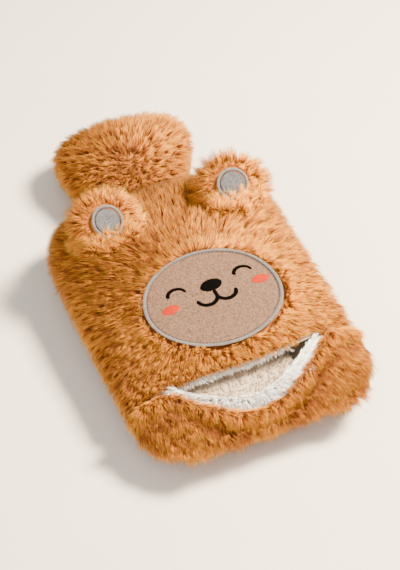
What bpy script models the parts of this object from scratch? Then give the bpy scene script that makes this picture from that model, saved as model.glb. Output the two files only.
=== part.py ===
"""Plush hot water bottle cover with a bear's face, lying on its back.

Metres, +Z up, +Y towards the hood, origin on the surface under the middle of
the whole cover. Every furry panel is a solid that reaches to the tips of its
pile. The cover is hollow: a hand pocket behind the smiling slot, the bottle
chamber under it, and a hood for the bottle's neck. Shapes are worked out from
the middle of the body and moved to the origin when a piece is finished.
"""
import math
from collections import namedtuple

import bmesh
import bpy
from mathutils import Euler, Matrix, Vector

COLLECTION = "hot_water_bottle_cover"
CUTTERS = "cutters"

# ---- driving dimensions ------------------------------------------------------
GAP = 0.0003              # between pieces that lie on each other
MERGE = 0.00001           # points closer than this are one
ORIGIN_SHIFT = -0.0588    # from the middle of the body to the middle of the cover

# The body, to the tips of the fur.
HALF_WIDTH = 0.1070
TOP_Y = 0.147             # shoulder end, measured from the body's middle
BOTTOM_Y = -0.1345        # lower end
SHOULDER_RADIUS = 0.056   # corners of the outline at the shoulders
FOOT_RADIUS = 0.048       # corners of the outline at the lower end
END_REACH = 0.046         # how far the rounded ends reach into the body
SEAM_Z = 0.033            # height of the side seam
CORNER_POWER = 2.2        # fullness of the outline's corners
END_POWER = 2.3           # fullness of the rounded ends
FRONT_POWER = 2.7         # fullness of the front's cross section
BACK_POWER = 3.2          # fullness of the back's cross section
FLAT_PRESS = 1.16         # presses the back flat against the surface
LUMP, LUMP_FINE = 0.0011, 0.0006   # soft unevenness of stuffed plush
FUR_WALL = 0.011          # backing cloth and pile together
RIM_SHARE = 0.46          # how far a rounded rim closes, in wall thicknesses

Station = namedtuple("Station", "y value")
CROWN = (                 # height of the front along the middle line
    Station(-0.150, 0.054), Station(-0.078, 0.0585), Station(-0.030, 0.0650),
    Station(0.020, 0.0715), Station(0.070, 0.0765), Station(0.110, 0.0765),
    Station(0.150, 0.0740),
)

# The smiling slot and the pocket's lip under it.
SLOT_Y = -0.078           # lower edge of the front panel
SLOT_RISE = 0.0105        # the edge climbs towards its right corner
SLOT_LEFT, SLOT_RIGHT = -0.071, 0.083
SLOT_SAG = 0.0420         # how far the pocket's lip hangs open
SLOT_SKEW = 0.82          # moves the lowest point of the lip to the left
SLOT_POINT = 1.15         # how pointed the corners of the slot are
POCKET_CROWN = 0.0535     # height of the pocket's middle under the lip
LIP_WALL = 0.0075         # the wall is thinner where it turns over at the lip
LIP_TURN = 0.020          # below the lip the wall has its full thickness
LIP_ROLL, ROLL_BELOW, ROLL_WIDTH = 0.0030, 0.006, 0.0065
LIP_CREASE, CREASE_BELOW, CREASE_WIDTH = 0.0036, 0.0185, 0.0072
FOLD_AT_SIDES = 0.35      # what is left of roll and crease past the slot
DENT, DENT_X, DENT_Y, DENT_WIDTH = 0.0035, 0.049, -0.110, 0.012

# The white plush lining.
SHERPA = 0.0065           # its thickness inside the pocket
LINING_SPAN = 0.62        # how much of the body's width it spans
LINING_LOW = 0.59         # how far down the pocket it starts, as a share
LINING_RISE = 0.006       # white plush standing past the lip
LINING_OVER = 0.0020      # it leans out over the lip
LINING_LEAN = 0.25        # how steeply it stands up from the lip
LINING_GAP = 0.0016       # loose between fur cloth and lining
FRINGE_WALL = 0.004       # lining under the front panel's edge
FRINGE_SPAN = 0.70
FRINGE_FROM = 0.001       # from the slot's edge to where the fringe starts
FRINGE_REACH = 0.029
FLOOR_WALL = 0.002        # lining on the chamber's floor
FLOOR_SPAN = 0.74
FLOOR_CURL = 0.0035       # its sides turn up
FLOOR_LENGTH = 0.78       # share of the body's length that it covers

# The plush wall between the hand pocket and the bottle, its upper edge free.
INNER_WALL = 0.005
WALL_LEFT, WALL_RIGHT = -0.074, 0.050
WALL_LOW, WALL_HIGH = -0.1080, -0.0220
WALL_PINCH = 0.010        # its corners draw in
WALL_TOP = 0.0350         # height of its middle
WALL_TOP_X = -0.015
WALL_CROWN, WALL_CROWN_WIDTH = 0.0050, 0.065
WALL_CLIMB, WALL_CLIMB_LENGTH = 0.050, 0.050
WALL_DROP, WALL_DROP_FROM, WALL_DROP_LENGTH = 0.0030, 0.012, 0.022
WALL_CURL, WALL_CURL_X, WALL_CURL_WIDTH = 0.0060, 0.036, 0.016

# The face.
FACE_X, FACE_Y = 0.0014, -0.0136
FACE_A, FACE_B = 0.0608, 0.0475
FACE_SINK = 0.0050        # the patch presses the fur down by this
FACE_CLEAR = 0.020        # how far its cutter stands up
PATCH_THICKNESS = 0.0020
PIPING_W, PIPING_H = 0.0042, 0.0028   # satin binding round the patch
THREAD_H = 0.0011         # how far the embroidery stands up
STROKE_W = 0.0029         # width of an embroidered line
FEATURE_X = 0.0039        # the features' own middle
FEATURE_TURN = math.radians(2.6)
EYE_X, EYE_Y, EYE_HALF, EYE_RISE = 0.0305, 0.0012, 0.0079, 0.0062
NOSE_Y, NOSE_A, NOSE_B, NOSE_H = -0.0004, 0.0098, 0.0059, 0.0015
MOUTH_X, MOUTH_Y, MOUTH_HALF, MOUTH_DROP = 0.0087, -0.0112, 0.0087, 0.0071
STEM_GAP, STEM_SINK = 0.0006, 0.0012   # from nose to stem, from stem into mouth
CHEEK_X, CHEEK_Y, CHEEK_A, CHEEK_B, CHEEK_H = 0.0412, -0.0098, 0.0077, 0.0046, 0.0007
OVAL_EDGE = 0.35          # height of a stitched oval's edge, as a share

# The ears.
EAR_X, EAR_Y, EAR_Z = 0.0580, 0.0830, 0.0825
EAR_MIDDLE = 0.0025       # the ears sit a little to the right
EAR_A, EAR_B = 0.0350, 0.0330
EAR_DEPTH = 0.0150        # half the thickness of the plump ear
EAR_BOW = 0.0040          # its rim bends back
EAR_TILT = math.radians(38.0)
EAR_TURN = math.radians(9.0)
DISC_RADIUS = 0.0113      # the suede disc in the ear
DISC_BEVEL = 0.0006
DISC_UP = 0.0030          # disc's centre above the ear's, along the ear
DISH_DEPTH = 0.0102       # how deep the disc lies in the fur
DISH_FLAT, DISH_SIDE = 0.013, 0.013
RING_OUT, RING_THICK, RING_UP = 0.0016, 0.0012, 0.0004

# The neck: the passage out of the chamber, and the hood.
PASSAGE_W, PASSAGE_H, PASSAGE_LENGTH = 0.030, 0.0145, 0.060
PASSAGE_IN = 0.006        # its middle lies this far inside the shoulder end
HoodRing = namedtuple("HoodRing", "y centre half_width low high")
HOOD_RINGS = (
    HoodRing(0.112, 0.000, 0.044, 0.0110, 0.0560),
    HoodRing(0.130, 0.001, 0.044, 0.0080, 0.0550),
    HoodRing(0.150, 0.002, 0.045, 0.0040, 0.0540),
    HoodRing(0.168, 0.004, 0.048, 0.0010, 0.0545),
    HoodRing(0.184, 0.007, 0.055, 0.0000, 0.0565),
    HoodRing(0.200, 0.009, 0.062, 0.0000, 0.0580),
    HoodRing(0.216, 0.010, 0.065, 0.0000, 0.0580),
    HoodRing(0.231, 0.010, 0.063, 0.0000, 0.0550),
    HoodRing(0.242, 0.009, 0.056, 0.0030, 0.0490),
    HoodRing(0.249, 0.009, 0.040, 0.0090, 0.0400),
)
HOOD_TIP_Y = 0.252
HOOD_POWER = 2.5          # fullness of its section
HOOD_DENT, HOOD_DENT_X, HOOD_DENT_Y, HOOD_DENT_WIDTH = 0.0055, 0.004, 0.186, 0.020

FUR = (0.62, 0.30, 0.12)
SHERPA_WHITE = (0.90, 0.87, 0.82)
SUEDE_TAUPE = (0.60, 0.49, 0.42)
SATIN_GREY = (0.47, 0.43, 0.41)
SUEDE_GREY = (0.38, 0.36, 0.37)
THREAD_BLACK = (0.015, 0.013, 0.013)
THREAD_CORAL = (0.90, 0.27, 0.12)
NAP, THREAD, SATIN = 0.9, 0.6, 0.5    # roughness


# ---- the shape of the body ---------------------------------------------------
def clamp(value, low=0.0, high=1.0):
    return max(low, min(high, value))


def smooth(value):
    t = clamp(value)
    return t * t * (3.0 - 2.0 * t)


def read_stations(table, y):
    """Value between the stations on either side of y, eased at each station."""
    for low, high in zip(table, table[1:]):
        if y <= high.y:
            break
    along = clamp((y - low.y) / (high.y - low.y))
    share = 0.4 * smooth(along) + 0.6 * along
    return low.value + (high.value - low.value) * share


def half_width(y):
    """Half the body's outline at y, with its rounded corners."""
    if y >= 0.0:
        radius, into = SHOULDER_RADIUS, y - (TOP_Y - SHOULDER_RADIUS)
    else:
        radius, into = FOOT_RADIUS, (BOTTOM_Y + FOOT_RADIUS) - y
    if into <= 0.0:
        return HALF_WIDTH
    share = clamp(into / radius) ** CORNER_POWER
    corner = radius * (1.0 - share) ** (1.0 / CORNER_POWER)
    return HALF_WIDTH - radius + corner


def end_rounding(y):
    """1 along the body, falling to 0 in a round end."""
    into = max(y - (TOP_Y - END_REACH), (BOTTOM_Y + END_REACH) - y)
    return (1.0 - clamp(into / END_REACH) ** END_POWER) ** (1.0 / END_POWER)


def lumps(x, y):
    """Soft unevenness of stuffed plush, a millimetre or so, none on the face."""
    off_face = math.hypot((x - FACE_X) / FACE_A, (y - FACE_Y) / FACE_B)
    wave = math.sin(61.0 * x + 17.0 * y + 0.6) * math.sin(47.0 * y - 23.0 * x)
    wave = LUMP * wave + LUMP_FINE * math.sin(120.0 * x + 95.0 * y)
    return wave * smooth((off_face - 1.0) / 0.35)


def section_height(x, y, power=FRONT_POWER):
    """Share of the full height at x across the section at y."""
    across = clamp(abs(x) / half_width(y))
    return (1.0 - across ** power) ** (1.0 / power)


def front_height(x, y):
    """Top of the fur of the front panel."""
    rise = read_stations(CROWN, y) - SEAM_Z
    return SEAM_Z + rise * section_height(x, y) * end_rounding(y)


def slot_y(x):
    """Lower edge of the front panel."""
    return SLOT_Y + SLOT_RISE * smooth((x - 0.005) / 0.085)


def across_slot(x):
    """0 at the slot's left corner, 1 at its right one."""
    return (x - SLOT_LEFT) / (SLOT_RIGHT - SLOT_LEFT)


def lip_y(x):
    """Upper edge of the pocket: it sags between the corners of the slot."""
    edge = slot_y(x) - GAP
    share = across_slot(x)
    if not 0.0 < share < 1.0:
        return edge
    return edge - SLOT_SAG * math.sin(math.pi * share ** SLOT_SKEW) ** SLOT_POINT


def lip_slack(x):
    """1 where the pocket's lip hangs open, 0 past the corners of the slot."""
    return smooth((slot_y(x) - lip_y(x)) / SLOT_SAG * 1.6)


def pocket_height(x, y):
    """Top of the fur of the pocket, before its folds."""
    side = read_stations(CROWN, y)
    full = side + (POCKET_CROWN - side) * lip_slack(x)
    return SEAM_Z + (full - SEAM_Z) * section_height(x, y) * end_rounding(y)


def ridge(height, distance, width):
    """A soft ridge or hollow of one height, fading over a width."""
    return height * math.exp(-(distance / width) ** 2)


def pocket_fold(x, y):
    """The soft roll along the lip, the crease under it and a dent beside it."""
    below = lip_y(x) - y
    fold = ridge(LIP_ROLL, below - ROLL_BELOW, ROLL_WIDTH)
    fold -= ridge(LIP_CREASE, below - CREASE_BELOW, CREASE_WIDTH)
    fold *= FOLD_AT_SIDES + (1.0 - FOLD_AT_SIDES) * lip_slack(x)
    fold -= ridge(DENT, math.hypot(x - DENT_X, y - DENT_Y), DENT_WIDTH)
    fading = smooth(1.5 * end_rounding(y) - 0.25)
    return fold * fading + lumps(x, y)


def back_height(x, y):
    """Underside of the body: flat on the surface, rounded to the side seam."""
    drop = FLAT_PRESS * SEAM_Z * section_height(x, y, BACK_POWER) * end_rounding(y)
    return max(0.0, SEAM_Z - drop)


# ---- building solids from surfaces -------------------------------------------
def spread_across(count, span=1.0):
    """Shares across a section, packed towards its two sides."""
    return [-span * math.cos(math.pi * i / count) for i in range(count + 1)]


def spread_along(low, high, count):
    """Places from low to high, packed towards both ends."""
    middle, half = (low + high) / 2, (high - low) / 2
    return [middle + half * share for share in spread_across(count)]


def disc_rows(count):
    """A square grid of points bent to fill the unit disc."""
    steps = [2.0 * k / count - 1.0 for k in range(count + 1)]
    return [[(u * math.sqrt(1.0 - v * v / 2.0), v * math.sqrt(1.0 - u * u / 2.0))
             for u in steps] for v in steps]


def shell_grid(height, rows, across, seam_z):
    """Points of a surface that runs from side seam to side seam."""
    grid = []
    for row in rows:
        line = []
        for share in across:
            y = row(share * HALF_WIDTH) if callable(row) else row
            x = share * half_width(y)
            z = seam_z if abs(share) > 0.9999 else height(x, y)
            z = max(z, seam_z) if seam_z > SEAM_Z else z
            z = min(z, seam_z) if seam_z < SEAM_Z else z
            line.append(Vector((x, y, z)))
        grid.append(line)
    return grid


def grid_normal(grid, i, j, up):
    """Normal at one point, turned to the side that up points to."""
    rows, columns = len(grid), len(grid[0])
    along = grid[min(i + 1, rows - 1)][j] - grid[max(i - 1, 0)][j]
    across = grid[i][min(j + 1, columns - 1)] - grid[i][max(j - 1, 0)]
    return across.cross(along).normalized() * up


def edge_close(distance, reach=1.0):
    """How far a rounded rim has closed, 1 at the very edge."""
    t = clamp(distance / reach)
    return 1.0 - math.sqrt(1.0 - (1.0 - t) ** 2)


def solid_between(outer, inner):
    """Mesh of the solid between two equal grids: a slab, bent to fit both."""
    rows, columns = len(outer), len(outer[0])
    mesh = bmesh.new()
    bmesh.ops.create_grid(mesh, x_segments=columns - 1, y_segments=rows - 1, size=0.5)
    for vert in mesh.verts:
        vert.co.x = (vert.co.x + 0.5) * (columns - 1)
        vert.co.y = (vert.co.y + 0.5) * (rows - 1)
    made = bmesh.ops.extrude_face_region(mesh, geom=mesh.faces[:])
    raised = [thing for thing in made["geom"] if isinstance(thing, bmesh.types.BMVert)]
    bmesh.ops.translate(mesh, verts=raised, vec=(0.0, 0.0, 1.0))
    for vert in mesh.verts:
        column, row, layer = (round(place) for place in vert.co)
        vert.co = (outer, inner)[layer][row][column]
    return mesh


def hang_sheet(rows, across, place, wall, rounding):
    """Solid of a lining that hangs down from a surface by its wall.

    place(share, y) gives the point on the upper side; rounding(i, j) is 1
    where the rim has closed and 0 inside it.
    """
    outer, inner = [], []
    for i, y in enumerate(rows):
        outer.append([])
        inner.append([])
        for j, share in enumerate(across):
            top = place(share, y)
            drop = wall * RIM_SHARE * rounding(i, j)
            outer[i].append(top - Vector((0.0, 0.0, drop)))
            inner[i].append(top - Vector((0.0, 0.0, wall - drop)))
    return solid_between(outer, inner)


def face_outwards(mesh):
    """Turn the faces of a closed mesh outwards."""
    bmesh.ops.recalc_face_normals(mesh, faces=mesh.faces[:])
    if mesh.calc_volume(signed=True) < 0.0:
        bmesh.ops.reverse_faces(mesh, faces=mesh.faces[:])
    mesh.normal_update()


def finish(mesh, name, colour, roughness=NAP):
    """Turn a bmesh into an object of the cover, closed and facing outwards."""
    face_outwards(mesh)
    bmesh.ops.translate(mesh, verts=mesh.verts[:], vec=(0.0, ORIGIN_SHIFT, 0.0))
    data = bpy.data.meshes.new(name)
    mesh.to_mesh(data)
    mesh.free()
    piece = bpy.data.objects.new(name, data)
    bpy.data.collections[COLLECTION].objects.link(piece)
    dress(piece, colour, roughness)
    return piece


def dress(piece, colour, roughness):
    """Shade a piece smooth and give it its own material."""
    material = bpy.data.materials.new(piece.name)
    material.use_nodes = True
    shader = material.node_tree.nodes["Principled BSDF"]
    shader.inputs["Base Color"].default_value = (*colour, 1.0)
    shader.inputs["Roughness"].default_value = roughness
    shader.inputs["Metallic"].default_value = 0.0
    piece.data.materials.append(material)
    piece.data.shade_smooth()
    piece.data.set_sharp_from_angle(angle=math.radians(50.0))


def use_boolean(piece, operation, *others):
    """Cut other solids out of a piece, or join them to it."""
    for other in others:
        modifier = piece.modifiers.new(other.name, "BOOLEAN")
        modifier.operation = operation
        modifier.solver = "EXACT"
        modifier.object = other


def as_cutter(piece):
    """Move a helper solid out of the model."""
    bpy.data.collections[COLLECTION].objects.unlink(piece)
    bpy.data.collections[CUTTERS].objects.link(piece)
    piece.hide_render = True
    piece.display_type = "WIRE"
    return piece


# ---- cutters -----------------------------------------------------------------
def make_envelope():
    """The whole body, a little larger: what the hood and the ears give way to."""
    rows = spread_along(BOTTOM_Y, TOP_Y, 26)
    across = spread_across(24)
    mesh = solid_between(shell_grid(front_height, rows, across, SEAM_Z),
                         shell_grid(back_height, rows, across, SEAM_Z))
    bmesh.ops.remove_doubles(mesh, verts=mesh.verts[:], dist=MERGE)
    face_outwards(mesh)
    moves = [(vert, vert.normal.copy()) for vert in mesh.verts]
    for vert, normal in moves:
        swell = abs(lumps(vert.co.x, vert.co.y)) if normal.z > 0.0 else 0.0
        vert.co += normal * (swell + 3.0 * GAP)
    return as_cutter(finish(mesh, "envelope_cutter", FUR))


def make_passage_cutter():
    """The passage between the bottle chamber and the hood."""
    mesh = bmesh.new()
    bmesh.ops.create_cone(mesh, cap_ends=True, segments=28, radius1=1.0,
                          radius2=1.0, depth=PASSAGE_LENGTH)
    place = Matrix.Translation((0.0, TOP_Y - PASSAGE_IN, SEAM_Z))
    place @= Matrix.Rotation(math.radians(90.0), 4, "X")
    place @= Matrix.Diagonal((PASSAGE_W, PASSAGE_H, 1.0, 1.0))
    bmesh.ops.transform(mesh, verts=mesh.verts[:], matrix=place)
    return as_cutter(finish(mesh, "passage_cutter", FUR))


def oval_solid(half_a, half_b, low, high):
    """Mesh between two heights over an oval of the face."""
    grids = []
    for height in (high, low):
        grid = []
        for row in disc_rows(9):
            places = [(FACE_X + half_a * a, FACE_Y + half_b * b) for a, b in row]
            grid.append([Vector((x, y, height(x, y))) for x, y in places])
        grids.append(grid)
    return solid_between(*grids)


def make_face_cutter():
    """The shallow oval bed that the face patch lies in."""
    mesh = oval_solid(FACE_A + 2.0 * GAP, FACE_B + 2.0 * GAP, bed_height,
                      lambda x, y: front_height(x, y) + FACE_CLEAR)
    return as_cutter(finish(mesh, "face_cutter", FUR))


# ---- the furry panels --------------------------------------------------------
def inward_on_seam(point, wall, seam_z):
    """A point of the side seam moved into the body by the wall, level."""
    step = 0.0008
    x, y = point.x, point.y
    if y > TOP_Y - step or y < BOTTOM_Y + step:
        aside = 0.25 if abs(x) > half_width(y) - step else 0.0
        normal = Vector((math.copysign(aside, x), math.copysign(1.0, y), 0.0))
    else:
        slope = (half_width(y + step) - half_width(y - step)) / (2.0 * step)
        normal = Vector((math.copysign(1.0, x), -slope, 0.0))
    moved = point - normal.normalized() * wall
    moved.z = seam_z
    return moved


def wall_grids(base, up, seam_rows, wall_at, fold_at, closed_at):
    """Outer and inner points of a furry wall on a smooth base surface."""
    seam_z = SEAM_Z + up * GAP / 2
    last_column = len(base[0]) - 1
    outer, inner = [], []
    for i, line in enumerate(base):
        outer.append([])
        inner.append([])
        for j, point in enumerate(line):
            if i in seam_rows or j in (0, last_column):
                outer[i].append(point)
                inner[i].append(inward_on_seam(point, FUR_WALL, seam_z))
                continue
            normal = grid_normal(base, i, j, up)
            side = smooth((HALF_WIDTH - abs(point.x)) / 0.03)
            wall = wall_at(i, j)
            closed = closed_at(i, j) * RIM_SHARE * side
            fold = fold_at(point.x, point.y) * side * (1.0 - closed_at(i, j))
            outer[i].append(point + normal * (fold - wall * closed))
            moved = point - normal * wall * (1.0 - closed)
            moved.z = up * max(up * moved.z, up * seam_z)
            inner[i].append(moved)
    return outer, inner


def make_back_panel(passage):
    """The back, flat on the surface and turned up to the side seam."""
    rows = spread_along(BOTTOM_Y, TOP_Y, 19)
    base = shell_grid(back_height, rows, spread_across(18), SEAM_Z - GAP / 2)
    outer, inner = wall_grids(base, -1.0, (0, len(rows) - 1),
                              lambda i, j: FUR_WALL, lambda x, y: 0.0,
                              lambda i, j: 0.0)
    panel = finish(solid_between(outer, inner), "back_panel", FUR)
    use_boolean(panel, "DIFFERENCE", passage)


def make_front_panel(passage, face_bed):
    """The front, from the slot's upper edge over the forehead to the shoulders."""
    rim, reach, count = FUR_WALL / 2, TOP_Y - SLOT_Y, 17
    steps = [0.0, 0.15 * rim, 0.85 * rim]
    rest = reach - steps[-1]
    steps += [steps[-1] + rest * math.sin(math.pi / 2 * k / count)
              for k in range(1, count + 1)]

    def row_of(share):
        return lambda x: slot_y(x) + (TOP_Y - slot_y(x)) * share

    rows = [row_of(step / reach) for step in steps]
    base = shell_grid(front_height, rows, spread_across(22), SEAM_Z + GAP / 2)
    outer, inner = wall_grids(base, 1.0, (len(rows) - 1,), lambda i, j: FUR_WALL,
                              lumps, lambda i, j: edge_close(steps[i], rim))
    panel = finish(solid_between(outer, inner), "front_panel", FUR)
    use_boolean(panel, "DIFFERENCE", passage, face_bed)


def pocket_wall(below):
    """Wall of the pocket, thinner where it turns over at the lip."""
    return LIP_WALL + (FUR_WALL - LIP_WALL) * smooth(below / LIP_TURN)


def pocket_surface(shares, across):
    """Grid of the pocket's base; a share of 1 is the lip, 0 the lower end."""
    def row_of(share):
        return lambda x: BOTTOM_Y + (lip_y(x) - BOTTOM_Y) * share

    rows = [row_of(share) for share in shares]
    return shell_grid(pocket_height, rows, across, SEAM_Z + GAP / 2)


def make_pocket_panel():
    """The pocket under the slot, with its sagging rolled lip."""
    shares = [0.0, 0.025, 0.09, 0.20, 0.33, 0.46, 0.59, 0.71, 0.82, 0.91, 0.97, 1.0]
    base = pocket_surface(shares, spread_across(28))

    def below(i, j):
        return base[-1][j].y - base[i][j].y

    outer, inner = wall_grids(
        base, 1.0, (0,), lambda i, j: pocket_wall(below(i, j)), pocket_fold,
        lambda i, j: edge_close(below(i, j), pocket_wall(below(i, j)) / 2))
    finish(solid_between(outer, inner), "pocket_panel", FUR)


def hood_ring(ring, wall, segments=28):
    """One closed cross section of the hood, moved in by the wall."""
    middle_z = (ring.low + ring.high) / 2
    half_h = (ring.high - ring.low) / 2 - wall
    half_w = ring.half_width - wall
    points = []
    for k in range(segments):
        angle = math.tau * k / segments
        c, s = math.cos(angle), math.sin(angle)
        x = ring.centre + half_w * math.copysign(abs(c) ** (2 / HOOD_POWER), c)
        z = middle_z + half_h * math.copysign(abs(s) ** (2 / HOOD_POWER), s)
        if s > 0.0:
            far = math.hypot(x - HOOD_DENT_X, ring.y - HOOD_DENT_Y)
            z += lumps(x, ring.y) * s - ridge(HOOD_DENT, far, HOOD_DENT_WIDTH)
        points.append(Vector((x, ring.y, z)))
    return points


def loft_rings(rings, first_tip, last_tip):
    """Skin a row of unlike rings, closed to a tip at both ends."""
    mesh = bmesh.new()
    loops = [[mesh.verts.new(point) for point in ring] for ring in rings]
    count = len(loops[0])
    for near, far in zip(loops, loops[1:]):
        for k in range(count):
            n = (k + 1) % count
            mesh.faces.new((near[k], near[n], far[n], far[k]))
    for loop, tip in ((loops[0], first_tip), (loops[-1], last_tip)):
        top = mesh.verts.new(tip)
        for k in range(count):
            mesh.faces.new((loop[k], loop[(k + 1) % count], top))
    return mesh


def make_neck_hood(envelope):
    """The flared hood over the bottle's neck: down its outside, up its inside."""
    last = HOOD_RINGS[-1]
    tip_z = (last.low + last.high) / 2
    outer = [hood_ring(ring, 0.0) for ring in reversed(HOOD_RINGS)]
    inside = [ring for ring in HOOD_RINGS if ring.y < HOOD_TIP_Y - 1.5 * FUR_WALL]
    inner = [hood_ring(ring, FUR_WALL) for ring in inside]
    mesh = loft_rings(outer + inner, Vector((last.centre, HOOD_TIP_Y, tip_z)),
                      Vector((inside[-1].centre, HOOD_TIP_Y - FUR_WALL, tip_z)))
    hood = finish(mesh, "neck_hood", FUR)
    use_boolean(hood, "DIFFERENCE", envelope)


# ---- the lining --------------------------------------------------------------
def standing_rows(lip, before):
    """Rows of points that stand up from the lip and lean over it."""
    rows = []
    for rise in (0.35, 0.75, 1.0):
        line = []
        for point, lower in zip(lip, before):
            bow = math.sin(math.pi * clamp(across_slot(point.x))) ** 0.5
            ahead = (point - lower).normalized() + Vector((0.0, 0.0, LINING_LEAN))
            reach = LINING_RISE * bow * rise + GAP
            line.append(point + ahead.normalized() * reach)
        rows.append(line)
    return rows


def make_lining_pocket():
    """White plush inside the pocket, standing up past its lip."""
    shares = [LINING_LOW, 0.71, 0.82, 0.91, 1.0]
    surface = pocket_surface(shares, spread_across(22, LINING_SPAN))
    lip = surface[-1]
    standing = standing_rows(lip, surface[-3])
    surface += standing
    last_row, last_column = len(surface) - 1, len(lip) - 1
    outer, inner = [], []
    for i, line in enumerate(surface):
        outer.append([])
        inner.append([])
        for j, point in enumerate(line):
            over = clamp((i - len(shares) + 1) / len(standing))
            depth = pocket_wall(max(0.0, lip[j].y - point.y)) + LINING_GAP
            depth -= LINING_OVER * over
            from_rim = min(min(i, last_row - i) / 2.0, min(j, last_column - j) / 3.0)
            closed = edge_close(from_rim) * RIM_SHARE
            normal = grid_normal(surface, i, j, 1.0)
            outer[i].append(point - normal * (depth + SHERPA * closed))
            inner[i].append(point - normal * (depth + SHERPA * (1.0 - closed)))
    finish(solid_between(outer, inner), "lining_pocket", SHERPA_WHITE)


def make_lining_front():
    """White plush under the front panel's edge, showing as a short fringe."""
    across = spread_across(18, FRINGE_SPAN)
    steps = [0.0, 0.06, 0.24, 0.59, 1.0]

    def place(share, step):
        x = share * HALF_WIDTH
        y = slot_y(x) + FRINGE_FROM + FRINGE_REACH * step
        return Vector((x, y, front_height(x, y) - 1.04 * FUR_WALL - 3.0 * GAP))

    def rounding(i, j):
        ends = edge_close(0.7 * min(i, len(steps) - 1 - i))
        return max(ends, edge_close(0.5 * min(j, len(across) - 1 - j)))

    mesh = hang_sheet(steps, across, place, FRINGE_WALL, rounding)
    finish(mesh, "lining_front", SHERPA_WHITE)


def inner_wall_height(x, y):
    """Top of the plush wall between hand pocket and bottle chamber."""
    above = y - SLOT_Y
    dome = WALL_TOP - WALL_CROWN * ((x - WALL_TOP_X) / WALL_CROWN_WIDTH) ** 2
    dome += WALL_CLIMB * above * smooth(above / WALL_CLIMB_LENGTH)
    dome -= WALL_DROP * smooth((-WALL_DROP_FROM - above) / WALL_DROP_LENGTH)
    return dome - WALL_CURL * smooth((x - WALL_CURL_X) / WALL_CURL_WIDTH)


def make_pocket_back():
    """The plush wall behind the hand pocket; its right side curls down."""
    across = spread_across(16)
    rows = spread_along(WALL_LOW, WALL_HIGH, 11)
    middle_y, half_y = (WALL_LOW + WALL_HIGH) / 2, (WALL_HIGH - WALL_LOW) / 2

    def place(share, y):
        pinch = WALL_PINCH * abs((y - middle_y) / half_y) ** 3
        half_x = (WALL_RIGHT - WALL_LEFT) / 2 - pinch
        x = (WALL_LEFT + WALL_RIGHT) / 2 + half_x * share
        return Vector((x, y, inner_wall_height(x, y)))

    def rounding(i, j):
        from_rim = min(i, len(rows) - 1 - i, j, len(across) - 1 - j)
        return edge_close(from_rim / 2.0)

    mesh = hang_sheet(rows, across, place, INNER_WALL, rounding)
    finish(mesh, "pocket_back", SHERPA_WHITE)


def make_lining_back():
    """Lining of the bottle chamber's floor, seen through the slot's corner."""
    low_y = BOTTOM_Y * FLOOR_LENGTH
    high_y = low_y + (TOP_Y - BOTTOM_Y) * FLOOR_LENGTH
    rows = [low_y + (high_y - low_y) * k / 8 for k in range(9)]

    def place(share, y):
        x = share * HALF_WIDTH
        low = back_height(x, y) + FUR_WALL + 4.0 * GAP
        low += FLOOR_CURL * (abs(share) / FLOOR_SPAN) ** 4
        return Vector((x, y, low + FLOOR_WALL))

    mesh = hang_sheet(rows, spread_across(10, FLOOR_SPAN), place, FLOOR_WALL,
                      lambda i, j: 0.0)
    finish(mesh, "lining_back", SHERPA_WHITE)


# ---- the ears ----------------------------------------------------------------
def ear_place(side):
    """Where an ear stands: tilted up from the forehead and turned outwards."""
    turn = Euler((EAR_TILT, 0.0, -side * EAR_TURN), "XYZ").to_matrix().to_4x4()
    return Matrix.Translation((EAR_MIDDLE + side * EAR_X, EAR_Y, EAR_Z)) @ turn


def make_ear(side, name, envelope):
    """A plump round ear, dished in front where its disc is sewn."""
    mesh = bmesh.new()
    bmesh.ops.create_uvsphere(mesh, u_segments=22, v_segments=14, radius=1.0)
    for vert in mesh.verts:
        bow = EAR_BOW * math.hypot(vert.co.x, vert.co.y) ** 2
        vert.co = Vector((vert.co.x * EAR_A, vert.co.y * EAR_B, vert.co.z * EAR_DEPTH))
        if vert.co.z > 0.0:
            out = math.hypot(vert.co.x, vert.co.y - DISC_UP)
            vert.co.z -= DISH_DEPTH * (1.0 - smooth((out - DISH_FLAT) / DISH_SIDE))
        vert.co.z -= bow
    bmesh.ops.transform(mesh, verts=mesh.verts[:], matrix=ear_place(side))
    ear = finish(mesh, name, FUR)
    use_boolean(ear, "DIFFERENCE", envelope)


def disc_height():
    """Height of the disc's underside over the ear's middle plane."""
    return EAR_DEPTH - DISH_DEPTH + GAP


def make_ear_disc(side, name):
    """The suede disc sewn in the ear."""
    mesh = bmesh.new()
    lift = Matrix.Translation((0.0, DISC_UP, disc_height() + PATCH_THICKNESS / 2))
    bmesh.ops.create_cone(mesh, cap_ends=True, segments=26, radius1=DISC_RADIUS,
                          radius2=DISC_RADIUS - DISC_BEVEL, depth=PATCH_THICKNESS,
                          matrix=ear_place(side) @ lift)
    finish(mesh, name, SUEDE_GREY)


def make_ear_ring(side, name):
    """The satin ring round the ear's disc."""
    bpy.ops.mesh.primitive_torus_add(major_segments=28, minor_segments=6,
                                     major_radius=DISC_RADIUS + RING_OUT,
                                     minor_radius=RING_THICK)
    torus = bpy.context.object
    mesh = bmesh.new()
    mesh.from_mesh(torus.data)
    bpy.data.objects.remove(torus, do_unlink=True)
    lift = Matrix.Translation((0.0, DISC_UP, disc_height() + RING_THICK + RING_UP))
    bmesh.ops.transform(mesh, verts=mesh.verts[:], matrix=ear_place(side) @ lift)
    finish(mesh, name, SATIN_GREY, SATIN)


# ---- the face ----------------------------------------------------------------
def bed_height(x, y):
    """Top of the patch's bed in the fur."""
    return front_height(x, y) - FACE_SINK


def patch_height(x, y):
    """Top of the suede patch."""
    return bed_height(x, y) + GAP + PATCH_THICKNESS


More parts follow.
